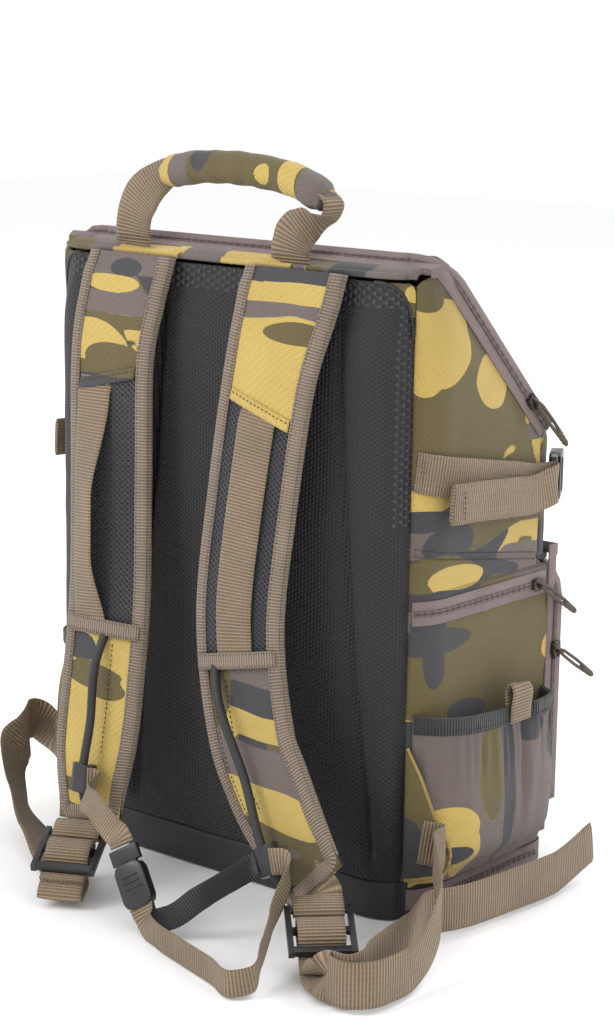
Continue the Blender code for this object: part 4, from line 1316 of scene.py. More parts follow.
def make_zippers():
    for node in ("lid_zipper_lid_tape", "lid_zipper_body_tape", "pocket_zipper_pocket_tape",
                 "pocket_zipper_body_tape", "side_zipper_left", "side_zipper_right", "base_zipper_band"):
        cad_copy(node, node + "_cloth", TAPE_CLOTH, 0.0003, 1, slot="zipper_tape")
    length = math.hypot(FRONT_Y - RIDGE_Y, RIDGE_Z - HINGE_Z)
    flap_coil("lid_coil", lid_frame(), length, FRONT_RADIUS, 0.028, ("lid", "bag"))
    upright = axes_matrix((0, FRONT_Y, 0.0345), (-1, 0, 0), (0, 0, 1), (0, 1, 0))
    flap_coil("pocket_coil", upright, 0.215, 0.030, 0.022, ("front_pocket", "bag"))
    for side, sign in SIDES:
        x = sign * (HALF_WIDTH + COIL_LIFT)
        path = [(Vector((x, y, SIDE_ZIPPER_Z)), UP) for y in (-0.083, -0.03, 0.03, 0.079)]
        coil_rows(f"side_coil_{side}", path, ("bag", "bag"))
    path = [(Vector((HALF_WIDTH + COIL_LIFT, y, BASE_ZIPPER_Z)), UP) for y in (-0.070, 0.0, 0.078)]
    coil_rows("base_coil_right", path, ("bag", "bag"))


def make_sliders():
    out = Vector((1, 0, 0))
    for name in ("lid_zip", "pocket_zip", "side_zip"):
        cad_copy(f"{name}_slider", f"{name}_slider_metal", METAL, 0.0009, 3, slot="painted_slider")
        low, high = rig.box(f"{name}_slider")
        centre = (low + high) / 2
        top = Vector((high.x, centre.y, centre.z))
        pull_low, pull_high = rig.box(f"{name}_pull")
        joint = next(j for j in frame["joints"] if j["child"] == f"{name}_pull")
        root = Vector(joint["pos_m"])
        ends = [Vector((root.x, y, z)) for y in (pull_low.y, pull_high.y) for z in (pull_low.z, pull_high.z)]
        far = max(ends, key=lambda end: (end - root).length)
        down = (far - root).normalized()
        across = down.cross(out).normalized()
        bridge = [top + down * a + out * b
                  for a, b in ((-0.005, -0.001), (-0.003, 0.002), (0.001, 0.0024), (0.004, -0.001))]
        hoop = piping(f"{name}_bridge", bridge, 0.0009, METAL, 0.001, across)
        attach(hoop, f"{name}_slider", slot="painted_slider")
        make_pull(name, root, down, across, out)


def make_pull(name, root, down, across, out):
    """A doubled braided cord looped through the slider, with a wrapped and sealed end."""
    strand = ((0.036, 0.0016, 0.0020), (0.024, 0.0021, 0.0012), (0.012, 0.0019, 0.0006),
              (0.003, 0.0014, 0.0002))
    loop = [root + down * a + across * b + out * c for a, b, c in strand]
    loop.append(root - down * 0.0012)
    loop += [root + down * a - across * b + out * c for a, b, c in reversed(strand)]
    cord = piping(f"{name}_pull_cord", loop, 0.0014, CORD_BRAID, 0.0015, out)
    attach(cord, f"{name}_pull", [f"{name}_pull"], "pull_cord")
    run = [(root + down * (0.032 + 0.0012 * k) + out * (0.0018 + 0.00004 * k), across) for k in range(17)]

    def wrapped(share):
        size = 0.0031 - 0.0008 * share + 0.00025 * math.sin(share * 26)
        return round_section(size * min(1, 0.55 + 6 * share, 0.55 + 6 * (1 - share)), 10, 0.8)

    end = swept(f"{name}_pull_wrap", run, wrapped, [CORD_BRAID])
    attach(end, f"{name}_pull", slot="pull_cord")


# ---------------------------------------------------------------- side pockets

def pocket_top(y):
    share = (y - BACK_Y) / (FRONT_Y - BACK_Y)
    return 0.158 - share * 0.009


POCKET_PLAN = ((0.0002, -0.080), (0.0075, -0.069), (0.0145, -0.056), (0.0200, -0.041), (0.0222, -0.020),
               (0.0224, 0.005), (0.0222, 0.030), (0.0195, 0.058), (0.0130, 0.073), (0.0002, 0.0815))


def pocket_plan_curve():
    """Evenly spaced (distance out, y) points round the pocket, with the total length."""
    curve, _ = smooth_curve([Vector((out, y, 0)) for out, y in POCKET_PLAN], 0.002)
    return curve, running_lengths(curve)


def along_curve(curve, lengths, share):
    target = share * lengths[-1]
    for k in range(len(lengths) - 1):
        if lengths[k + 1] >= target:
            t = (target - lengths[k]) / (lengths[k + 1] - lengths[k])
            return curve[k].lerp(curve[k + 1], t), (curve[k + 1] - curve[k]).normalized()
    return curve[-1], (curve[-1] - curve[-2]).normalized()


def pocket_point(sign, share, height, curve, lengths, lift=0.0):
    """A point on the gathered pocket; height runs from the sewn bottom to the elastic rim."""
    spot, along = along_curve(curve, lengths, share)
    out = Vector((-along.y, along.x, 0))
    if out.x < 0:
        out = -out
    ends = ease(share, 0, 0.06) * ease(1 - share, 0, 0.06)
    tuck = 1 - 0.62 * (1 - ease(height, 0.0, 0.22)) ** 1.5
    belly = 0.0032 * math.sin(math.pi * min(height * 1.15, 1)) * ends
    gather = 0.0009 * math.sin(share * 2 * math.pi * 17 + 1.3 * math.sin(share * 23)) * ends
    gather *= ease(height, 0.45, 0.85) * (1 - ease(height, 0.88, 0.93))
    fold = -0.0046 * math.exp(-((share - 0.60 - 0.05 * height) / 0.022) ** 2) * ease(height, 0.1, 0.7)
    fold += 0.0024 * math.exp(-((share - 0.66 - 0.05 * height) / 0.030) ** 2) * ease(height, 0.1, 0.7)
    soft = 0.0016 * noise.noise(Vector((share * 7, height * 3.4, sign * 4.0))) * ends
    pulled = 0.35 + 0.65 * ends
    base = 0.026 + 0.003 * ends
    z = base + (pocket_top(spot.y) - base) * height
    offset = out * (belly + gather + (fold * pulled + soft) * ends + lift)
    return Vector((sign * (HALF_WIDTH + 0.0006 + max(spot.x * tuck + offset.x, 0.0)), spot.y + offset.y, z))


def make_side_pocket(side, sign):
    curve, lengths = pocket_plan_curve()
    cloth = surface(f"side_pocket_fabric_{side}", 56, 110,
                    lambda u, v: pocket_point(sign, u, v, curve, lengths), CAMO, flip=sign < 0)
    patches = RIGHT_POCKET_PATCHES if side == "right" else ()
    camouflage(cloth, (16, 16, 9), 9.0 + sign, patches)
    thicken(cloth, 0.0011)
    attach(cloth, "bag", [f"side_pocket_{side}"], "camo_fabric")

    def rim(lift, drop):
        """A line round the pocket, at a height below the rim and a distance out of the cloth."""
        height = 1.0 - drop / (pocket_top(0.0) - 0.026)
        return [pocket_point(sign, k / 120, height, curve, lengths, lift) for k in range(121)]

    rows = ((0.0010, 0.0122), (0.0021, 0.0108), (0.0023, 0.0055), (0.0020, -0.0006), (0.0004, -0.0018),
            (-0.0022, -0.0006), (-0.0024, 0.0085))
    rings = [list(ring) for ring in zip(*[rim(lift, drop) for lift, drop in rows])]
    band = lofted(f"side_pocket_elastic_{side}", rings, [ELASTIC])
    attach(band, "bag", [f"pocket_binding_{side}"], "black_elastic")
    rows = [[(p, Vector((sign, 0, 0))) for p in rim(0.0024, 0.0088)]]
    attach(stitches(f"side_pocket_stitches_{side}", rows, DARK_THREAD), "bag")
    make_pocket_tab(side, sign, curve, lengths)


def make_pocket_tab(side, sign, curve, lengths):
    """The folded webbing tab sewn over the rim of the pocket."""
    spot = pocket_point(sign, 0.575, 1.0, curve, lengths, 0.0024)
    fold = ((0.0012, -0.0105), (0.0016, 0.0), (0.0012, 0.0165), (-0.0006, 0.0185), (-0.0026, 0.0165),
            (-0.0034, 0.0), (-0.0034, -0.008))
    path = [(spot + Vector((sign * a, 0.0, b)), Vector((0, 1, -0.12))) for a, b in fold]
    tab = swept(f"side_pocket_tab_{side}", smooth_run(path, 0.0012), flat_section(0.026, 0.0013), [WEB])
    attach(tab, "bag", slot="khaki_webbing")


# -------------------------------------------------------------- wings, webbing

def make_wing(side, sign):
    matrix = wing_frame(sign)
    corners = [(0.0, 0.034), (0.030, 0.040), (0.034, 0.052), (0.010, 0.118), (0.0, 0.136)]
    centre = Vector((sum(x for x, y in corners) / 5, sum(y for x, y in corners) / 5, 0))
    crown = ((0.0002, 0.97), (0.0002, 1.0), (0.0014, 1.0), (0.0030, 0.96), (0.0040, 0.80), (0.0046, 0.45))
    rings = []
    for depth, size in crown:
        ring = []
        for (x0, y0), (x1, y1) in zip(corners, corners[1:] + corners[:1]):
            for k in range(10):
                spot = Vector((x0 + (x1 - x0) * k / 10, y0 + (y1 - y0) * k / 10, 0))
                spot = centre + (spot - centre) * size
                ring.append(matrix @ Vector((max(spot.x, 0), spot.y, depth)))
        rings.append(ring)
    wing = lofted(f"strap_wing_fabric_{side}", rings, [CAMO])
    box_uv(wing)
    camouflage(wing, (22, 22, 22), 3.3, ((0, matrix @ Vector((0.012, 0.10, 0)), (0.03, 0.03, 0.02)),))
    attach(wing, "bag", [f"strap_wing_{side}"], "camo_fabric")
    outline = ((0.001, 0.1352), (0.0108, 0.117), (0.0225, 0.0855), (0.0345, 0.0525), (0.031, 0.0405),
               (0.016, 0.0365), (0.001, 0.0335))
    edge = [matrix @ Vector((x, y, 0.0024)) for x, y in outline]
    attach(piping(f"strap_wing_piping_{side}", edge, 0.0015, PIPING, 0.003), "bag")


def webbing_routes():
    """(x, y, z, lean) from the wing to the lock, and from the lock to the hemmed end."""
    floor = LOWER_WEBBING_WIDTH / 2 + 0.0015
    right_load = [(0.228, -0.104, 0.066, 90), (0.250, -0.132, 0.050, 90), (0.262, -0.168, 0.026, 90),
                  (0.265, -0.2035, floor, 90), (0.262, -0.224, floor, 90), (0.2475, -0.238, floor, 90),
                  (0.232, -0.235, floor, 90), (0.219, -0.221, 0.0145, 45)]
    right_tail = [(0.2215, -0.223, 0.0165, -135), (0.2315, -0.228, floor, -90), (0.242, -0.226, floor, -90),
                  (0.244, -0.214, floor, -90), (0.2374, -0.198, floor, -90), (0.230, -0.165, floor, -90),
                  (0.224, -0.120, floor, -90), (0.223, -0.075, floor, -90), (0.228, -0.020, floor, -90),
                  (0.232, 0.035, floor + 0.002, -90), (0.229, 0.092, floor + 0.012, -90)]
    left_load = [(-0.219, -0.076, 0.077, 90), (-0.223, -0.095, 0.080, 90), (-0.210, -0.119, 0.068, 80),
                 (-0.178, -0.136, 0.038, 60), (-0.140, -0.150, 0.016, 30), (-0.098, -0.168, 0.005, 0)]
    return {"right": (right_load, right_tail), "left": (left_load, [])}


def leaning_sides(points, leans):
    """Width directions from lying flat (0) to standing on edge (90 degrees)."""
    sides = []
    for along, lean in zip(tangents(points), leans):
        level = along.cross(UP).normalized()
        turn = math.radians(lean)
        sides.append(level * math.cos(turn) + UP * math.sin(turn))
    return sides


def above_floor(run, width):
    """Lift the parts of a run whose lower edge would sink into the floor."""
    lifted = []
    for (point, side), along in zip(run, tangents([point for point, side in run])):
        square = (side - along * side.dot(along)).normalized()
        lowest = abs(square.z) * width / 2 + 0.0038
        lifted.append((Vector((point.x, point.y, max(point.z, lowest))), side))
    return lifted


def make_lower_webbing(side, sign):
    load, tail = webbing_routes()[side]
    wing = wing_frame(sign)
    lock = lock_frame(side)
    across = (lock.to_3x3() @ Vector((0, 1, 0))).normalized()
    start = [wing @ Vector((0.012, 0.066, 0.0055)), wing @ Vector((0.026, 0.064, 0.0058))]
    bends = [(0.052, -0.0100), (0.040, -0.0078), (0.014, -0.0068)]
    if side == "left":
        bends = [(0.048, -0.0200), (0.0560, -0.0185), (0.0585, -0.0155), (0.0560, -0.0125)] + bends[1:]
    over = [(0.0092, -0.0030), (0.0092, 0.0020), (0.0130, 0.0046), (0.0262, 0.0046), (0.0312, 0.0015),
            (0.0335, -0.0030), (0.0440, -0.0052)]
    over = over + [(0.0540, -0.0072)] if tail else over + [(0.0490, -0.0058)]
    through = [lock @ Vector((a, 0, b)) for a, b in bends + over]
    points = start + [Vector(p[:3]) for p in load] + through + [Vector(p[:3]) for p in tail]
    leans = [90, 90] + [p[3] for p in load] + [0] * len(through) + [p[3] for p in tail]
    sides = leaning_sides(points, leans)
    first = 2 + len(load)
    for i in range(first, first + len(through)):
        sides[i] = across
    run = above_floor(smooth_run(list(zip(points, sides)), 0.0022), LOWER_WEBBING_WIDTH)
    total = len(run)

    def section(share):
        hem = 1.0 + 1.1 * ease(share * total, total - 7, total - 5) + 0.9 * (1 - ease(share * total, 5, 8))
        return flat_section(LOWER_WEBBING_WIDTH, WEBBING * 0.85 * hem, 0.0003)

    strap = swept(f"lower_webbing_strap_{side}", run, section, [WEB])
    round_piece(strap)
    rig.slot(strap, "khaki_webbing")
    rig.replaces(strap, f"lower_webbing_{side}")
    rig.blend(strap, "bag", "harness", points[1], through[0])


# ---------------------------------------------------- side straps and buckles

def make_side_strap(side, sign):
    matrix = buckle_frame(sign)
    plan = [(0.1853, -0.084), (0.1895, -0.060), (0.1925, -0.020), (0.1930, 0.020), (0.1925, 0.058)]
    fall = (SIDE_STRAP_FRONT_Z - SIDE_STRAP_BACK_Z) / (plan[-1][1] - plan[0][1])
    strand = [Vector((sign * x, y, SIDE_STRAP_BACK_Z + fall * (y - plan[0][1]))) for x, y in plan]
    strand.append(matrix @ Vector((0.0015, 0, 0.0018)))
    upright = Vector((0, 0.17, 1)).normalized()
    run = smooth_run([(p, upright) for p in strand], 0.0025)
    width = SIDE_STRAP_WIDTH
    main = swept(f"side_strap_webbing_{side}", run, flat_section(width, 0.0015), [WEB])
    round_piece(main)
    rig.slot(main, "khaki_webbing")
    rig.replaces(main, f"side_strap_{side}")
    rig.blend(main, "bag", f"side_strap_{side}", strand[0], strand[-2])
    threaded = ((0.0015, 0.0018), (0.0030, 0.0038), (0.0012, 0.0060))
    tail_spots = [matrix @ Vector((x, 0, z)) for x, z in threaded]
    for x, y, rise in ((0.1978, 0.050, -0.005), (0.2000, 0.005, -0.003), (0.2005, -0.035, 0.0),
                       (0.2030, -0.066, 0.002)):
        tail_spots.append(Vector((sign * x, y, SIDE_STRAP_FRONT_Z + rise)))
    tail_run = smooth_run([(p, UP) for p in tail_spots], 0.0022)

    def section(share):
        return flat_section(width, 0.0015 + 0.0019 * ease(share, 0.900, 0.912), -0.0004)

    tail = swept(f"side_strap_tail_{side}", tail_run, section, [WEB])
    attach(tail, f"side_strap_{side}", slot="khaki_webbing")
    hem = tail_spots[-1].lerp(tail_spots[-2], 0.33)
    out = Vector((sign, 0, 0))
    rows = []
    for shift in (0.0, 0.0022):
        base = hem + Vector((sign * 0.0017, shift, 0.0))
        rows.append([(base + UP * (width / 2 - 0.002) * a, out) for a in ROW_SHARES])
    attach(stitches(f"side_strap_hem_stitches_{side}", rows), f"side_strap_{side}")
    sewn = strand[0].lerp(strand[1], 0.22) + Vector((sign * 0.0011, 0, 0))
    rows = []
    for shift in (0.0, 0.0030):
        rows.append([(sewn + UP * (width / 2 - 0.002) * a + Vector((0, shift, 0)), out) for a in ROW_SHARES])
    attach(stitches(f"side_strap_box_stitches_{side}", rows), "bag")
    make_buckle(f"side_buckle_{{}}_{side}", matrix, 0.036, 0.0044)


def make_buckle(name, matrix, width, start):
    """Both halves with rounded edges, and raised ribs on the face of the female half."""
    for half in ("male", "female"):
        cad_copy(name.format(half), name.format(half) + "_shell", PLASTIC, 0.0009, 3, slot="black_acetal")
    low = start + 0.0125
    node = name.format("female")
    reach = width / 2 - 0.0055
    for k, along in enumerate((0.010, 0.0145, 0.019)):
        bar = [matrix @ Vector((low + along, reach * a, 0.0083)) for a in (-1, 0, 1)]
        rib = piping(f"{node}_rib_{k}", bar, 0.0008, PLASTIC, 0.004)
        attach(rib, frame["nodes"][node]["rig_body"], slot="black_acetal")


# ----------------------------------------------------------------- grab handle

def grip_arch():
    """The middle line of the padded grip, which hangs lower at its right end."""
    line = [(-0.0640, 0.5385), (-0.0560, 0.5408), (-0.0400, 0.5438), (-0.0200, 0.5457), (0.0030, 0.5462),
            (0.0350, 0.5442), (0.0660, 0.5388), (0.0830, 0.5322), (0.0920, 0.5268)]
    return [Vector((x, HANDLE_Y, z)) for x, z in line]


def make_handle():
    run = smooth_run([(p, Vector((0, 1, 0))) for p in grip_arch()], 0.0025)

    def section(share):
        ends = ease(share, 0.0, 0.06) * ease(1 - share, 0.0, 0.06)
        size = 0.0095 + 0.0030 * ends + 0.0003 * math.sin(share * 43)
        return round_section(size, 20, 0.97)

    grip = swept("handle_grip_cover", run, section, [CAMO])
    creased(grip, 0.0005, 60, 6.0)
    camouflage(grip, (17, 30, 30), 12.0, HANDLE_PATCHES)
    attach(grip, "handle", ["handle_grip"], "camo_fabric")
    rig.padded(grip, fill=0.9)
    seam = [(p + Vector((0, 0.0106, -0.0080)), Vector((0, 0.8, -0.6))) for p, side in run[4:-4]]
    attach(stitches("handle_seam_stitches", [seam], DARK_THREAD), "handle")
    make_handle_leg("left", LEFT_LEG)
    make_handle_leg("right", RIGHT_LEG)


# (x, y ahead of the grip, z), width direction and width of the webbing, from the seam to the grip.
LEFT_LEG = (
    ((-0.0960, -0.0040, 0.4830), (1.00, 0.0, 0.06), 0.0355),
    ((-0.0955, -0.0048, 0.4950), (1.00, 0.0, 0.00), 0.0355),
    ((-0.0925, -0.0052, 0.5090), (1.00, 0.0, -0.22), 0.0350),
    ((-0.0850, -0.0050, 0.5215), (0.86, 0.10, -0.55), 0.0330),
    ((-0.0745, -0.0045, 0.5315), (0.60, 0.20, -0.80), 0.0280),
    ((-0.0630, -0.0035, 0.5385), (0.35, 0.30, -0.95), 0.0225),
    ((-0.0520, -0.0020, 0.5425), (0.22, 0.30, -0.97), 0.0180))
RIGHT_LEG = (
    ((0.0630, -0.0050, 0.4790), (1.00, 0.0, 0.00), 0.0360),
    ((0.0638, -0.0062, 0.4930), (1.00, 0.0, -0.12), 0.0360),
    ((0.0680, -0.0052, 0.5030), (0.86, 0.16, -0.48), 0.0340),
    ((0.0770, -0.0030, 0.5100), (0.50, 0.60, -0.62), 0.0300),
    ((0.0880, 0.0000, 0.5140), (0.12, 0.95, -0.30), 0.0260),
    ((0.0965, 0.0000, 0.5180), (0.00, 1.00, 0.00), 0.0240),
    ((0.0985, 0.0000, 0.5255), (0.00, 1.00, 0.00), 0.0230),
    ((0.0935, 0.0000, 0.5310), (0.00, 1.00, 0.00), 0.0210),
    ((0.0820, 0.0000, 0.5335), (0.00, 1.00, 0.00), 0.0180))


def make_handle_leg(side, stations):
    """Webbing sewn into the top seam that rises, folds and enters the end of the grip."""
    controls = [(Vector((x, HANDLE_Y + y, z)), Vector(across)) for (x, y, z), across, width in stations]
    run = smooth_run(controls, 0.0018)
    widths = [width for spot, across, width in stations]

    def section(share):
        place = share * (len(widths) - 1)
        k = min(int(place), len(widths) - 2)
        width = widths[k] + (widths[k + 1] - widths[k]) * (place - k)
        cup = 0.0050 * ease(0.0300 - width, 0, 0.010)
        return flat_section(width, 0.0016, cup if side == "left" else 0.0)

    leg = swept(f"handle_webbing_{side}", run, section, [WEB])
    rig.slot(leg, "khaki_webbing")
    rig.replaces(leg, f"handle_leg_{side}")
    foot = controls[0][0]
    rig.blend(leg, "bag", "handle", foot, controls[2][0])
    rows = []
    for height in (0.0045, 0.0070):
        rows.append([(foot + Vector((0.0155 * a, -0.0016, height)), OUT_OF_BACK) for a in ROW_SHARES])
    attach(stitches(f"handle_foot_stitches_{side}", rows), "bag")


# -------------------------------------------------------------- shoulder straps

# Heights of the pad's two faces above and below its middle plane, at the crown and at the edge
PAD_FACE = 0.0058
PAD_EDGE = 0.0034
PAD_BACK = PAD_THICKNESS / 2 * 0.92
PAD_BACK_EDGE = 0.0016
PAD_PRINT = {"left": 17.0, "right": 21.0}


def print_pad(piece, side):
    camouflage(piece, (15, 15, 27), PAD_PRINT[side], PAD_PATCHES[side])


def face_crown(share):
    """Height of the outer face, at a share across from -1 to 1."""
    return PAD_EDGE + (PAD_FACE - PAD_EDGE) * (1 - abs(share) ** 2.6)


def back_crown(share):
    """The same for the side worn against the body, which is fuller."""
    return PAD_BACK_EDGE + (PAD_BACK - PAD_BACK_EDGE) * (1 - abs(share) ** 3.2)


def pad_end_taper(index, count):
    """The pad thins towards its sewn lower end."""
    return 0.42 + 0.58 * ease(count - 1 - index, 0, 12)


def pad_half_width(index, count, side):
    """The pad narrows at its lower end, and the right one is a little wider at the top."""
    top = (0.12 if side == "right" else 0.03) * (1 - ease(index, 10, 48))
    return PAD_WIDTH / 2 * (1 + top) * (1 - 0.2 * ease(index, count - 21, count - 1))


def pad_side(frames):
    return "left" if frames[0][0].x < 0 else "right"


def pad_spot(frames, index, share, lift=0.0):
    """A point on the face of the pad; index may lie between two frames."""
    first = min(int(index), len(frames) - 2)
    count = len(frames)
    spots = []
    for i in (first, first + 1):
        point, _, across, outward = frames[i]
        wide = pad_half_width(i, count, pad_side(frames))
        height = face_crown(share) * pad_end_taper(i, count)
        spots.append(point + across * share * wide + outward * (height + lift))
    return spots[0].lerp(spots[1], index - first)


def hem_height(side, share):
    outer, inner = HEM_Z[side]
    outwardness = share if side == "right" else -share
    return inner + (outer - inner) * (outwardness + 1) / 2


def index_at(frames, height):
    return next(i for i, f in enumerate(frames) if f[0].z <= height)


def place_at(frames, height):
    """The same as a fraction between two frames."""
    i = index_at(frames, height)
    above, below = frames[i - 1][0].z, frames[i][0].z
    return i - (height - below) / (above - below)


def make_pad(side, frames):
    count = len(frames)
    shares = [-1 + 2 * k / 26 for k in range(27)]
    hem_index = index_at(frames, sum(HEM_Z[side]) / 2)
    bar_index = index_at(frames, CROSS_BAR_Z)
    rings = []
    for i, (point, _, across, outward) in enumerate(frames):
        wide = pad_half_width(i, count, side)
        taper = pad_end_taper(i, count)
        sunk = 0.0010 * math.exp(-((i - bar_index) / 3.0) ** 2)
        sunk += 0.0006 * math.exp(-((i - hem_index) / 3.0) ** 2)
        front = []
        for share in shares:
            inner = 1 - abs(share) ** 4
            soft = 0.0006 * noise.noise(point * 45 + across * share * 2.0) * inner
            height = face_crown(share) * taper + soft - sunk * inner
            front.append(point + across * share * wide + outward * height)
        back = [point + across * share * wide - outward * (back_crown(share) * taper)
                for share in reversed(shares)]
        rings.append(front + back)
    columns = len(shares)

    def paint(i, k):
        if k >= columns - 1:
            return 2
        share = (shares[k] + shares[k + 1]) / 2
        z = (frames[i][0].z + frames[i + 1][0].z) / 2
        knit = CROSS_BAR_Z < z < hem_height(side, share)
        return 1 if knit else 0

    pad = lofted(f"shoulder_pad_cover_{side}", rings, [CAMO, KNIT, AIR_MESH], paint)
    print_pad(pad, side)
    attach(pad, "harness", [f"shoulder_pad_{side}"], "camo_fabric")
    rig.padded(pad, fill=0.7)


# Distance in from the pad's edge, and height above its face, of the binding tape
TAPE_OVER_FACE = ((0.0112, 0.0004), (0.0108, 0.0011), (0.0070, 0.0013), (0.0030, 0.0013), (0.0004, 0.0006))


def edge_share(inward):
    """The share across a full-width pad at a distance in from its edge."""
    return 1 - inward / (PAD_WIDTH / 2)


def make_pad_binding(side, frames):
    """Ribbed tape folded over the edge: down one side, round the end and up the other."""
    count = len(frames)
    left_side = []
    right_side = []
    for i, (point, _, across, outward) in enumerate(frames[:count - 8]):
        wide = pad_half_width(i, count, side)
        taper = pad_end_taper(i, count)
        left_side.append((point - across * wide, across, outward, taper))
        right_side.append((point + across * wide, -across, outward, taper))
    point, along, across, outward = frames[-1]
    wide = pad_half_width(count - 1, count, side)
    radius = 0.012
    end = []
    for k in range(9):
        turn = math.radians(90 * k / 8)
        centre = point - across * (wide - radius) - along * radius
        inward = across * math.cos(turn) - along * math.sin(turn)
        end.append((centre - inward * radius, inward, outward, 0.42))
    flat = [(point + across * (wide - radius) * a, -along, outward, 0.42) for a in (-0.6, -0.2, 0.2, 0.6)]
    turned = []
    for k in range(9):
        turn = math.radians(90 * k / 8)
        centre = point + across * (wide - radius) - along * radius
        inward = -along * math.cos(turn) - across * math.sin(turn)
        turned.append((centre - inward * radius, inward, outward, 0.42))
    rings = []
    for spot, inward, normal, taper in left_side + end + flat + turned + list(reversed(right_side)):
        ring = []
        full = max(taper, 0.46)
        for a, lift in TAPE_OVER_FACE:
            ring.append(spot + inward * a + normal * (face_crown(edge_share(a)) * full + lift))
        ring.append(spot - inward * 0.0012)
        for a in (0.0004, 0.0030, 0.0070):
            ring.append(spot + inward * a - normal * (back_crown(edge_share(a)) * full + 0.0011))
        for a, share in ((0.0070, -0.6), (0.0030, -0.3), (0.0014, 0.0), (0.0030, 0.3), (0.0070, 0.7)):
            ring.append(spot + inward * a + normal * PAD_EDGE * share * taper)
        rings.append(ring)
    binding = lofted(f"shoulder_binding_{side}", rings, [BINDING])
    attach(binding, "harness", slot="khaki_webbing")
    lines = []
    for sign in (-1, 1):
        line = []
        for i in range(2, count - 12):
            wide = pad_half_width(i, count, side)
            share = sign * (wide - 0.0092) / wide
            line.append((pad_spot(frames, i, share) + frames[i][3] * 0.00135, frames[i][3]))
        lines.append(line)
    attach(stitches(f"shoulder_binding_stitches_{side}", lines), "harness")


def make_hem(side, frames):
    """The folded lower edge of the upper camouflage section, with its stitch line."""
    spots = []
    for k in range(25):
        share = -0.70 + 1.40 * k / 24
        place = place_at(frames, hem_height(side, share))
        spots.append((pad_spot(frames, place, share, 0.0007), frames[int(place)][1]))
    outward = frames[index_at(frames, hem_height(side, 0))][3]
    rings = []
    for spot, along in spots:
        ring = [spot + along * 0.0016 + outward * 0.0002, spot + along * 0.0014 + outward * 0.0012,
                spot - along * 0.0015 + outward * 0.0011, spot - along * 0.0075 + outward * 0.0002,
                spot - along * 0.0075 - outward * 0.0012, spot + along * 0.0010 - outward * 0.0012]
        rings.append(ring)
    fold = lofted(f"pad_hem_{side}", rings, [CAMO])
    print_pad(fold, side)
    attach(fold, "harness", slot="camo_fabric")
    line = [(spot - along * 0.0045 + frames[0][3] * 0.0008, frames[0][3]) for spot, along in spots]
    attach(stitches(f"pad_hem_stitches_{side}", [line], DARK_THREAD), "harness")


def make_pad_webbing(side, frames, lock):
    shift = -0.30 if side == "left" else 0.0
    turn = math.radians(24) if side == "left" else 0.0
    top = index_at(frames, hem_height(side, shift) + 0.010)
    bottom = index_at(frames, CROSS_BAR_Z - 0.006)
    run = []
    for i in range(top, bottom + 1):
        point, along, across, outward = frames[i]
        share = (i - top) / (bottom - top)
        away = ease(share, 0.05, 0.45) * ease(1 - share, 0, 0.35)
        tucked = 0.0030 * (1 - ease(share, 0.020, 0.065))
        tilt = turn * away
        lift = 0.0016 - tucked + (0.0012 + 0.0066 * (turn > 0)) * away
        side_direction = (across * math.cos(tilt) + outward * math.sin(tilt)).normalized()
        run.append((pad_spot(frames, i, shift * (1 + 0.35 * away), lift), side_direction))
    strip = swept(f"pad_webbing_{side}", run, flat_section(0.034, 0.0015, -0.0002), [WEB])
    attach(strip, "harness", [f"shoulder_webbing_{side}"], "khaki_webbing")
    turn_round = ((-0.0120, 0.0036), (0.0010, 0.0036), (0.0040, 0.0022), (0.0046, 0.0), (0.0040, -0.0022),
                  (0.0010, -0.0036), (-0.0080, -0.0036))
    around = [lock @ Vector((a, 0, b)) for a, b in turn_round]
    across_lock = (lock.to_3x3() @ Vector((0, -1, 0))).normalized()
    point, along, across, outward = frames[-1]
    if across.dot(across_lock) < 0:
        across_lock = -across_lock
    inside = [(point + along * a + outward * 0.0022, across) for a in (-0.016, 0.002)]
    loop = smooth_run(inside + [(p, across_lock) for p in around], 0.0012)
    end = swept(f"lock_webbing_{side}", loop, flat_section(0.0365, 0.0014), [WEB])
    attach(end, "harness", slot="khaki_webbing")


def make_cross_bar(side, frames):
    i = index_at(frames, CROSS_BAR_Z)
    run = []
    for k in range(31):
        share = -0.93 + 1.86 * k / 30
        run.append((pad_spot(frames, i, share, 0.0036 - 0.0016 * abs(share) ** 3), -frames[i][1]))
    bar = swept(f"cross_bar_{side}", run, flat_section(0.0122, 0.0014), [BINDING])
    attach(bar, "harness", [f"cross_webbing_{side}"], "khaki_webbing")
    outward = frames[i][3]
    lines = []
    for drop in (-0.0046, 0.0046):
        lines.append([(p + frames[i][1] * drop + outward * 0.0009, outward) for p, _ in run])
    attach(stitches(f"cross_bar_stitches_{side}", lines), "harness")


def make_rail(side, frames):
    top, bottom = rail_ends(side, frames)
    climb = (top - bottom).normalized()
    drop = -frames[index_at(frames, top.z)][3] * 0.0075
    low_out = frames[-12][3]
    path = [bottom - climb * 0.008 - low_out * 0.0070, bottom - climb * 0.002 - low_out * 0.0035,
            bottom + climb * 0.006, (top + bottom) / 2, top - climb * 0.018,
            top - climb * 0.007 + drop * 0.45, top + climb * 0.003 + drop]
    rail = piping(f"sternum_rail_cord_{side}", path, 0.0034, RUBBER, 0.003, OUT_OF_BACK)
    attach(rail, "harness", [f"sternum_rail_{side}"], "rubber_rail")
    slider = f"sternum_slider_{side}"
    cad_copy(slider, slider + "_shell", PLASTIC, 0.0008, 3, slot="black_acetal")


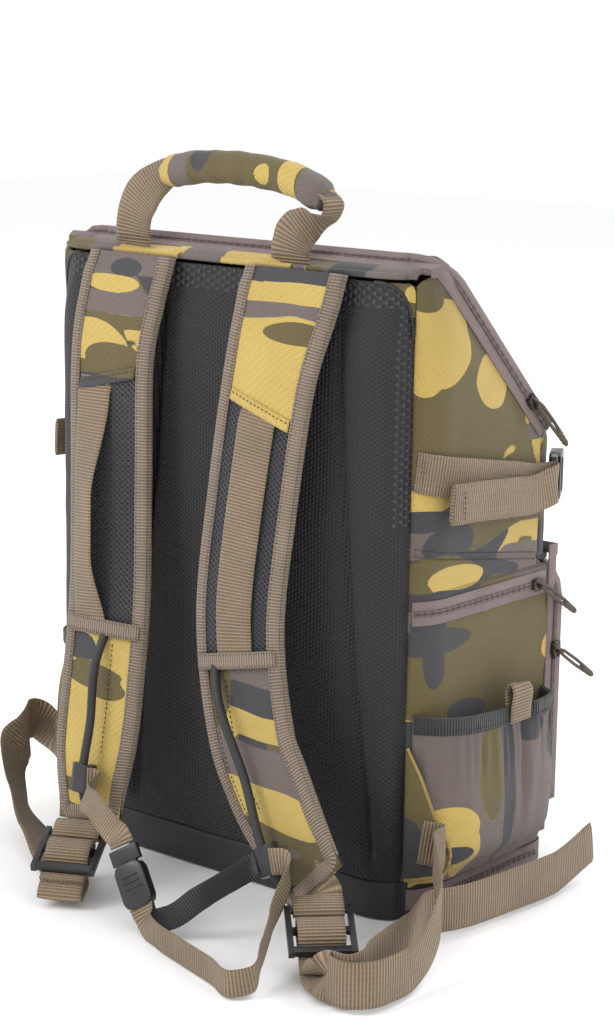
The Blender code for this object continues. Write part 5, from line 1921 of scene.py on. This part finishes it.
def make_lower_section_seams(side, frames):
    """Two rows of stitching beside the sternum rail."""
    count = len(frames)
    first = index_at(frames, CROSS_BAR_Z - 0.012)
    last = count - 16
    lines = []
    for share in ((-0.08, 0.28) if side == "left" else (-0.66, -0.31)):
        lines.append([(pad_spot(frames, i, share, 0.0003), frames[i][3]) for i in range(first, last)])
    attach(stitches(f"pad_lower_stitches_{side}", lines, DARK_THREAD), "harness")


# --------------------------------------------------------------- sternum strap

def sternum_frame():
    down = Vector((0.58, -0.16, -0.80)).normalized()
    width_axis = Vector((0.8, 0.35, 0.52))
    width_axis = (width_axis - down * width_axis.dot(down)).normalized()
    face = down.cross(width_axis).normalized()
    if face.y > 0:
        face = -face
        width_axis = -width_axis
    return axes_matrix((0.018, -0.211, 0.056), down, width_axis, face), width_axis


def turned(first, last, count):
    return [Vector(first).lerp(Vector(last), i / (count - 1)) for i in range(count)]


def make_sternum(left, right):
    matrix, width_axis = sternum_frame()
    upright = width_axis if width_axis.z > 0 else -width_axis
    make_buckle("sternum_buckle_{}", matrix, 0.024, 0.0)
    join = left @ Vector((-0.0140, 0.003, 0.0))
    points = [left @ Vector((-0.0085, 0.0062, 0.0)), join, Vector((-0.048, -0.187, 0.076)),
              Vector((-0.022, -0.203, 0.077)), Vector((0.004, -0.2105, 0.066)),
              matrix @ Vector((-0.0070, 0, 0.0034)), matrix @ Vector((-0.0016, 0, 0.0034))]
    run = smooth_run(list(zip(points, turned((0.1, 0, 1), upright, len(points)))), 0.0018)
    strap = swept("sternum_webbing_strap", run, flat_section(STERNUM_WIDTH, 0.0014, 0.0002), [WEB])
    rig.slot(strap, "khaki_webbing")
    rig.replaces(strap, "sternum_webbing")
    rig.blend(strap, "sternum_slider_left", "sternum_male", join, points[-2])
    near = right @ Vector((0.0125, 0.003, 0.002))
    sewn = ((0.0455, 0, 0.0012), (0.0500, 0, 0.0015), (0.0560, 0, 0.0012))
    points = [matrix @ Vector(spot) for spot in sewn]
    points += [Vector((0.066, -0.216, 0.015)), Vector((0.086, -0.205, 0.032)),
               near, right @ Vector((0.0075, 0.0065, 0.002))]
    run = smooth_run(list(zip(points, turned(upright, (-0.4, 0.1, 0.9), len(points)))), 0.0018)
    elastic = swept("sternum_elastic_band", run, flat_section(STERNUM_WIDTH - 0.002, 0.0015), [ELASTIC])
    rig.slot(elastic, "black_elastic")
    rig.replaces(elastic, "sternum_elastic")
    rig.blend(elastic, "sternum_slider_right", "sternum_female", near, points[1])
    height = STERNUM_WIDTH / 2 + 0.0015
    sewn = ((0.0455, 0, 0.0052), (0.0500, 0, 0.0058), (0.0560, 0, 0.0066))
    points = [matrix @ Vector(spot) for spot in sewn]
    for x, y, rise in ((0.074, -0.238, 0), (0.110, -0.250, 0), (0.150, -0.262, 0), (0.174, -0.270, 0),
                       (0.183, -0.260, 0.002), (0.172, -0.236, 0.010), (0.157, -0.208, 0.022)):
        points.append(Vector((x, y, height + rise)))
    points += [right @ Vector((-0.0185, 0.006, -0.007)), right @ Vector((-0.0080, 0.0085, -0.003))]
    sides = turned(upright, UP, 4) + [UP] * (len(points) - 4)
    run = smooth_run(list(zip(points, sides)), 0.0018)
    loop = swept("sternum_loop_strap", run, flat_section(STERNUM_WIDTH, 0.0014, 0.0002), [WEB])
    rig.slot(loop, "khaki_webbing")
    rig.replaces(loop, "sternum_loop")
    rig.blend(loop, "sternum_slider_right", "sternum_female", points[-2], points[1])


def make_harness():
    rails = {}
    for side in ("left", "right"):
        frames = worn_frames(side)
        lock = lock_frame(side)
        make_pad(side, frames)
        make_pad_binding(side, frames)
        make_hem(side, frames)
        make_pad_webbing(side, frames, lock)
        make_cross_bar(side, frames)
        make_rail(side, frames)
        make_lower_section_seams(side, frames)
        cad_copy(f"ladder_lock_{side}", f"ladder_lock_{side}_moulding", PLASTIC, 0.0010, 3,
                 slot="black_acetal")
        rails[side] = rail_frame(side, frames)
    make_sternum(rails["left"], rails["right"])


# ---------------------------------------------------------------- camo patches

# Each patch: colour, centre, reach along x, y and z. A reach of WIDE ignores that direction.
OCHRE_PRINT, OLIVE_PRINT, MAUVE_PRINT, CHARCOAL_PRINT = -1, 0, 1, 2
WIDE = 0.6


def on_side(colour, y, z, reach_y, reach_z):
    return colour, (HALF_WIDTH, y, z), (WIDE, reach_y, reach_z)


def on_pad(colour, x, z, reach_x, reach_z):
    return colour, (x, BACK_Y, z), (reach_x, WIDE, reach_z)


MESH_CORNER_PATCHES = (
    on_pad(OLIVE_PRINT, 0.180, 0.470, 0.060, 0.060),
    on_pad(OCHRE_PRINT, 0.182, 0.466, 0.010, 0.006),
    on_pad(OLIVE_PRINT, -0.180, 0.470, 0.060, 0.060))
RIGHT_SIDE_PATCHES = (
    on_side(OLIVE_PRINT, -0.050, 0.390, 0.120, 0.085),
    on_side(OCHRE_PRINT, -0.062, 0.432, 0.036, 0.034),
    on_side(OCHRE_PRINT, -0.078, 0.408, 0.018, 0.016),
    on_side(OLIVE_PRINT, -0.076, 0.466, 0.020, 0.012),
    on_side(OCHRE_PRINT, 0.000, 0.400, 0.022, 0.020),
    on_side(OLIVE_PRINT, -0.030, 0.300, 0.120, 0.022),
    on_side(OCHRE_PRINT, -0.080, 0.317, 0.030, 0.008),
    on_side(MAUVE_PRINT, -0.080, 0.290, 0.026, 0.014),
    on_side(CHARCOAL_PRINT, -0.078, 0.303, 0.030, 0.008),
    on_side(CHARCOAL_PRINT, -0.044, 0.286, 0.032, 0.013),
    on_side(OLIVE_PRINT, -0.060, 0.262, 0.060, 0.013),
    on_side(OCHRE_PRINT, -0.028, 0.257, 0.032, 0.010),
    on_side(OLIVE_PRINT, 0.000, 0.190, 0.200, 0.048),
    on_side(MAUVE_PRINT, -0.092, 0.222, 0.018, 0.012),
    on_side(CHARCOAL_PRINT, -0.060, 0.212, 0.046, 0.010),
    on_side(CHARCOAL_PRINT, -0.064, 0.226, 0.020, 0.010),
    on_side(CHARCOAL_PRINT, -0.060, 0.193, 0.012, 0.018),
    on_side(CHARCOAL_PRINT, -0.018, 0.153, 0.022, 0.010),
    on_side(OCHRE_PRINT, 0.090, 0.185, 0.012, 0.011))
RIGHT_POCKET_PATCHES = (
    on_side(MAUVE_PRINT, 0.000, 0.090, 0.300, 0.300),
    on_side(OLIVE_PRINT, -0.018, 0.112, 0.015, 0.036),
    on_side(CHARCOAL_PRINT, 0.006, 0.088, 0.008, 0.060),
    on_side(CHARCOAL_PRINT, 0.035, 0.131, 0.015, 0.011),
    on_side(CHARCOAL_PRINT, 0.074, 0.118, 0.014, 0.020),
    on_side(OCHRE_PRINT, -0.056, 0.074, 0.020, 0.016),
    on_side(OCHRE_PRINT, -0.041, 0.052, 0.011, 0.022),
    on_side(OCHRE_PRINT, -0.080, 0.060, 0.012, 0.009),
    on_side(CHARCOAL_PRINT, -0.060, 0.052, 0.022, 0.008),
    on_side(OCHRE_PRINT, -0.068, 0.032, 0.018, 0.008))


def on_top(colour, x, reach_x):
    return colour, (x, -0.078, BACK_TOP_Z), (reach_x, 0.030, 0.030)


TOP_PATCHES = (
    on_top(OLIVE_PRINT, -0.150, 0.040),
    on_top(MAUVE_PRINT, -0.122, 0.016),
    on_top(OCHRE_PRINT, -0.066, 0.030),
    on_top(MAUVE_PRINT, -0.018, 0.020),
    on_top(OCHRE_PRINT, 0.032, 0.036),
    on_top(CHARCOAL_PRINT, 0.078, 0.010),
    on_top(MAUVE_PRINT, 0.150, 0.080),
    on_top(OLIVE_PRINT, 0.092, 0.008),
    on_top(CHARCOAL_PRINT, 0.120, 0.019))


def on_grip(colour, x, reach_x, z=0.550, reach_z=WIDE):
    return colour, (x, HANDLE_Y, z), (reach_x, WIDE, reach_z)


HANDLE_PATCHES = (
    on_grip(OLIVE_PRINT, 0.010, 0.090),
    on_grip(OCHRE_PRINT, -0.058, 0.008),
    on_grip(MAUVE_PRINT, -0.044, 0.010),
    on_grip(CHARCOAL_PRINT, -0.022, 0.010, 0.558, 0.014),
    on_grip(OCHRE_PRINT, 0.041, 0.007, 0.543, 0.008),
    on_grip(OCHRE_PRINT, 0.064, 0.008),
    on_grip(MAUVE_PRINT, 0.086, 0.012))

PAD_PATCHES = {
    "left": (
        on_pad(MAUVE_PRINT, -0.086, 0.476, WIDE, 0.0145),
        on_pad(CHARCOAL_PRINT, -0.084, 0.468, 0.015, 0.007),
        on_pad(OCHRE_PRINT, -0.098, 0.4555, 0.026, 0.0072),
        on_pad(MAUVE_PRINT, -0.090, 0.4400, WIDE, 0.0090),
        on_pad(OLIVE_PRINT, -0.090, 0.4270, WIDE, 0.0050),
        on_pad(OCHRE_PRINT, -0.110, 0.4100, 0.038, 0.0150),
        on_pad(OLIVE_PRINT, -0.084, 0.3990, 0.028, 0.0125),
        on_pad(OLIVE_PRINT, -0.090, 0.3920, WIDE, 0.0050),
        on_pad(CHARCOAL_PRINT, -0.100, 0.3780, WIDE, 0.0095),
        on_pad(OCHRE_PRINT, -0.080, 0.1150, WIDE, 0.0800),
        on_pad(CHARCOAL_PRINT, -0.098, 0.1760, 0.020, 0.0120),
        on_pad(OLIVE_PRINT, -0.086, 0.1560, 0.032, 0.0110),
        on_pad(OLIVE_PRINT, -0.068, 0.1460, 0.018, 0.0080),
        on_pad(OLIVE_PRINT, -0.096, 0.0680, 0.026, 0.0050),
        on_pad(OLIVE_PRINT, -0.105, 0.0420, 0.040, 0.0140)),
    "right": (
        on_pad(CHARCOAL_PRINT, 0.080, 0.4780, WIDE, 0.0075),
        on_pad(OCHRE_PRINT, 0.080, 0.4620, WIDE, 0.0080),
        on_pad(MAUVE_PRINT, 0.068, 0.4490, 0.040, 0.0065),
        on_pad(MAUVE_PRINT, 0.100, 0.4450, 0.040, 0.0080),
        on_pad(OCHRE_PRINT, 0.080, 0.4010, WIDE, 0.0400),
        on_pad(OLIVE_PRINT, 0.094, 0.4320, 0.034, 0.0090),
        on_pad(OLIVE_PRINT, 0.104, 0.3700, 0.014, 0.0050),
        on_pad(MAUVE_PRINT, 0.080, 0.1850, WIDE, 0.0100),
        on_pad(CHARCOAL_PRINT, 0.080, 0.1660, WIDE, 0.0100),
        on_pad(OCHRE_PRINT, 0.090, 0.1480, WIDE, 0.0085),
        on_pad(MAUVE_PRINT, 0.083, 0.1210, WIDE, 0.0150),
        on_pad(OCHRE_PRINT, 0.106, 0.0930, WIDE, 0.0135),
        on_pad(OLIVE_PRINT, 0.130, 0.0600, WIDE, 0.0190),
        on_pad(MAUVE_PRINT, 0.136, 0.0665, 0.0110, 0.0035),
        on_pad(OLIVE_PRINT, 0.038, 0.1640, 0.020, 0.0280))}


# ------------------------------------------------------------- base and inside

def make_base_and_inside():
    cad_copy("base_tray", "base_cloth", BASE_CLOTH, 0.0025, 3, slot="coated_base")
    cad_copy("back_liner", "back_liner_cloth", LINING, 0.0006, 1, slot="lining")
    cad_copy("compartment_shelf", "shelf_cloth", LINING, 0.0012, 2, slot="lining")
    cad_copy("back_foam", "back_foam_block", FOAM, 0.0012, 2, slot="foam")
    cad_copy("back_stiffener", "back_board", BOARD, 0.0005, 1, slot="board")


# ------------------------------------------------------------ camera and stage

def area_light(name, place, target, size, power, colour=(1, 1, 1)):
    data = bpy.data.lights.new(name, "AREA")
    data.shape = "DISK"
    data.size = size
    data.energy = power
    data.color = colour
    lamp = bpy.data.objects.new(name, data)
    lamp.location = place
    aim = Vector(target) - Vector(place)
    lamp.rotation_euler = aim.to_track_quat("-Z", "Y").to_euler()
    bpy.context.scene.collection.objects.link(lamp)


def make_stage():
    mesh = bpy.data.meshes.new("studio_floor")
    reach = 6.0
    corners = [(-reach, -reach, 0), (reach, -reach, 0), (reach, reach, 0), (-reach, reach, 0)]
    mesh.from_pydata(corners, [], [(0, 1, 2, 3)])
    paint = Paint("pale_floor", 0.7)
    grain = paint.noise(40, 3)
    colour = paint.scaled((0.97, 0.97, 0.97), paint.span(grain, 0.3, 0.7, 0.99, 1.01))
    mesh.materials.append(paint.finish(colour, grain, 0.00005))
    floor = bpy.data.objects.new("studio_floor", mesh)
    floor.location = (0, 0, -0.0008)
    bpy.context.scene.collection.objects.link(floor)
    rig.stage(floor)
    world = bpy.data.worlds.new("soft_studio")
    world.use_nodes = True
    world.node_tree.nodes["Background"].inputs[0].default_value = (1, 1, 1, 1)
    world.node_tree.nodes["Background"].inputs[1].default_value = 1.0
    bpy.context.scene.world = world
    target = (0, 0, 0.28)
    area_light("key", (-1.1, -2.2, 1.9), target, 1.4, 34)
    area_light("fill", (2.4, -1.0, 1.1), target, 1.8, 14)
    area_light("back", (0.6, 2.2, 2.4), target, 1.6, 40)
    bpy.context.scene.view_settings.view_transform = "Standard"


def make_camera():
    azimuth = math.radians(39.5)
    elevation = math.radians(12.5)
    roll = math.radians(-0.87)
    level = Vector((math.sin(azimuth), -math.cos(azimuth), 0))
    back = level * math.cos(elevation) + UP * math.sin(elevation)
    right = Vector((math.cos(azimuth), math.sin(azimuth), 0))
    up = back.cross(right)
    x_axis = right * math.cos(roll) - up * math.sin(roll)
    y_axis = right * math.sin(roll) + up * math.cos(roll)
    data = bpy.data.cameras.new("photo_camera")
    data.lens = 83.46
    data.sensor_width = 36
    data.shift_x = -0.0035
    data.shift_y = 0.0326
    camera = bpy.data.objects.new("photo_camera", data)
    camera.matrix_world = axes_matrix(Vector((0.017, 0, 0.25)) + back * 1.867, x_axis, y_axis, back)
    bpy.context.scene.collection.objects.link(camera)
    bpy.context.scene.camera = camera


make_camera()
make_stage()
make_base_and_inside()
make_back_panel()
for side, sign in SIDES:
    make_side_panel(side, sign)
    make_side_pocket(side, sign)
    make_wing(side, sign)
    make_side_strap(side, sign)
    make_lower_webbing(side, sign)
make_upper_front()
make_top_strip()
make_lid()
make_front_pocket()
make_zippers()
make_sliders()
make_handle()
make_harness()

visual_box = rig.bounds()
boxes = {"cad": cad_box, "visual": visual_box}
with open("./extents.json", "w") as report:
    json.dump({name: [list(corner) for corner in box] for name, box in boxes.items()}, report)
